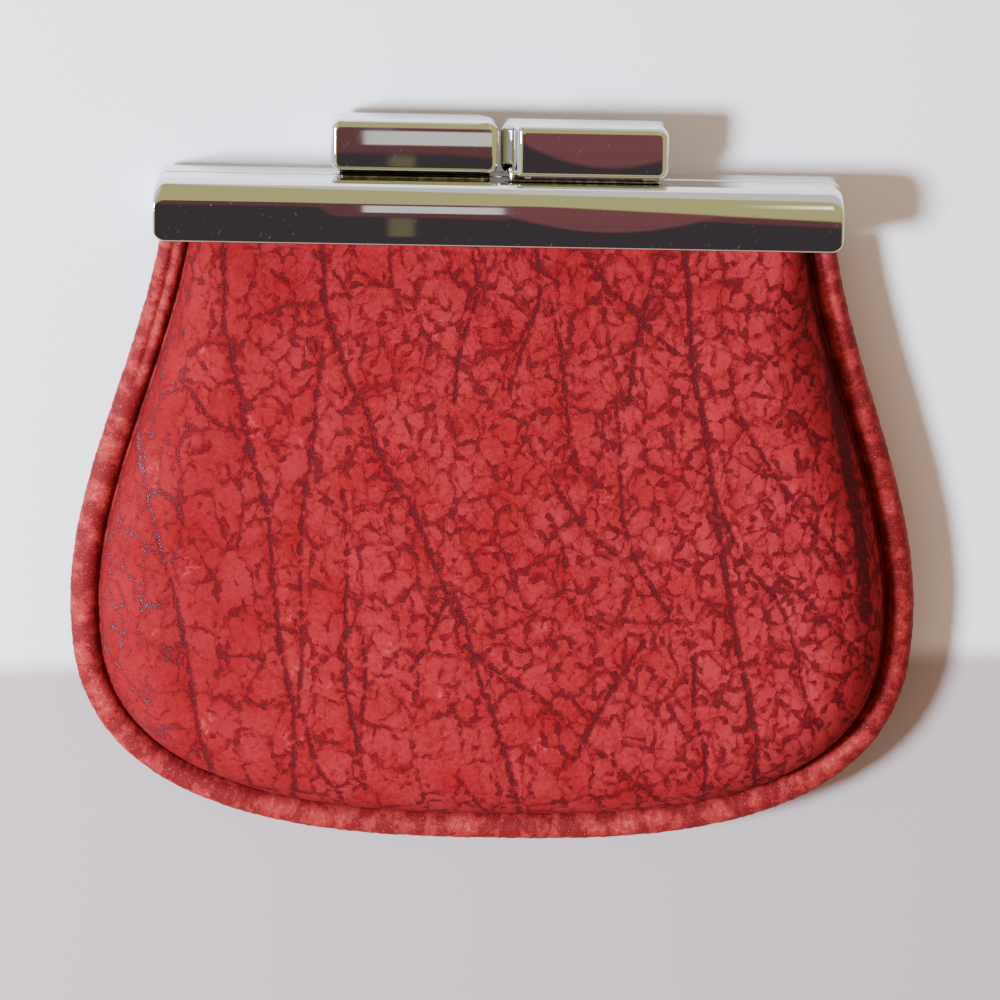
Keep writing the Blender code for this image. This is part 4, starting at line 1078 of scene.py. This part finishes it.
def paper_finish():
    """Matt paper, faintly uneven; past a soft fold line near the pouch's foot it is darker and
    warmer: painted shade.
    """
    material, wire = new_finish("pale_paper", Roughness=0.75, Specular_IOR_Level=0.2)
    place = millimetres(wire)
    across, along = place.axis(0), place.axis(1)
    # Below the fold line the paper is painted in shade.
    fold = (along - across * FOLD_SLOPE + place.noise(0.03, 2.0) * 2.0).step(*FOLD_BORDER)
    colour = fold.mixed(PAPER_SHADE, PAPER_PALE)
    return connect(material, Base_Color=colour, Normal=place.noise(0.6, 4.0).bump(0.00005, 0.2))


corners = [(x * FLOOR_REACH, y * FLOOR_REACH, 0) for x, y in ((-1, -1), (1, -1), (1, 1), (-1, 1))]
floor = new_piece("paper_floor", corners, [[0, 1, 2, 3]], paper_finish())

lamp = bpy.data.lights.new("soft_lamp", "AREA")
lamp.shape, lamp.size, lamp.energy, lamp.color = "DISK", LAMP_SIZE, LAMP_POWER, LAMP_COLOUR
lamp_holder = bpy.data.objects.new("soft_lamp", lamp)
lamp_holder.location = LAMP_PLACE
lamp_holder.rotation_euler = (-Vector(LAMP_PLACE)).to_track_quat("-Z", "Y").to_euler()
bpy.context.scene.collection.objects.link(lamp_holder)

world = bpy.data.worlds.new("pale_room")
bpy.context.scene.world = world
world.use_nodes = True
sky = Wire(world.node_tree)
toward = sky.add("ShaderNodeTexCoord", None, None, 0)
east, north, up = (toward.axis(number) for number in range(3))
height = north.maths("ARCTAN2", up)
near_east = east.at_most(0.08).at_least(-0.08)
wall_top = height + near_east * (height.at_least(-0.2) * 4.6 + 1.03)
wall_foot = height - 0.006 + (near_east + 0.01).at_least(0.0) * 0.41


def patch(*borders):
    """1 in a rectangle of the room and 0 outside it."""
    first, second = (
        wire.step(low - soft, low + soft) * (1 - wire.step(high - soft, high + soft))
        for wire, (low, high, soft) in zip((east, height), borders)
    )
    return first * second


face = patch(*FACE_PATCH)
below_wall = (1 - wall_foot.step(*FOOT_BORDER)) * face
dark_from = wall_foot + east.step(-0.034, -0.030) * 0.020 - east.step(-0.004, 0.004) * 0.007
dark_from = dark_from - east.step(0.0, 0.04) * 0.014 - 0.005
lens = height + LENS_FOOT + (1 - ((east - LENS_EAST) / LENS_HALF_WIDTH) ** 2) * LENS_RISE
streaks = toward.moved((0, 0, 0), (6, 160, 160)).noise(1.0, 2.0, 0.5) * 0.9 + 0.5
colour = wall_top.step(*CEILING_BORDER).mixed(ROOM_KHAKI, ROOM_PALE)
for share, tint in (
    (1 - height.step(*ROSE_BORDER), ROOM_ROSE),
    (1 - east.step(*WEST_BORDER), ROOM_PALE),
    (patch(*CREAM_PATCH), ROOM_CREAM),
    (below_wall, ROOM_BROWN),
    ((1 - dark_from.step(*DARK_BORDER)) * face, ROOM_DARK),
    (lens.step(*LENS_BORDER) * below_wall * streaks.at_most(1.0), ROOM_MAUVE),
    (patch(*WINDOW_PATCH).at_least(patch(*STREAK_PATCH) * 0.75) * 0.95, ROOM_PALE),
    (patch(*PILLAR_PATCH) * 0.2, ROOM_KHAKI),
):
    colour = share.mixed(colour, tint)
glossy = sky.add("ShaderNodeLightPath", None, None, 3)
colour = glossy.mixed(ROOM_LIGHT, colour)
world.node_tree.links.new(colour.socket, world.node_tree.nodes["Background"].inputs["Color"])

# Camera. It looks a little down on the clasp, and is turned by a degree.

CAMERA_DISTANCE, CAMERA_TILT, CAMERA_TURN = 0.70, math.radians(14), math.radians(1.0)
CAMERA_TARGET, CAMERA_LENS = (0.0008, -0.0020, 0.0062), 201.6

back = np.array((0, math.sin(CAMERA_TILT), math.cos(CAMERA_TILT)))
level, above = np.array((1.0, 0, 0)), np.array((0, math.cos(CAMERA_TILT), -math.sin(CAMERA_TILT)))
rightward = math.cos(CAMERA_TURN) * level + math.sin(CAMERA_TURN) * above
upward = math.cos(CAMERA_TURN) * above - math.sin(CAMERA_TURN) * level
place = np.array(CAMERA_TARGET) + CAMERA_DISTANCE * back
camera = bpy.data.objects.new("camera", bpy.data.cameras.new("camera"))
camera.data.lens, camera.data.sensor_width = CAMERA_LENS, 36
camera.matrix_world = Matrix(
    [[*row, at] for row, at in zip(np.stack([rightward, upward, back], axis=1).tolist(), place)]
    + [[0, 0, 0, 1]]
)
bpy.context.scene.collection.objects.link(camera)
bpy.context.scene.camera = camera
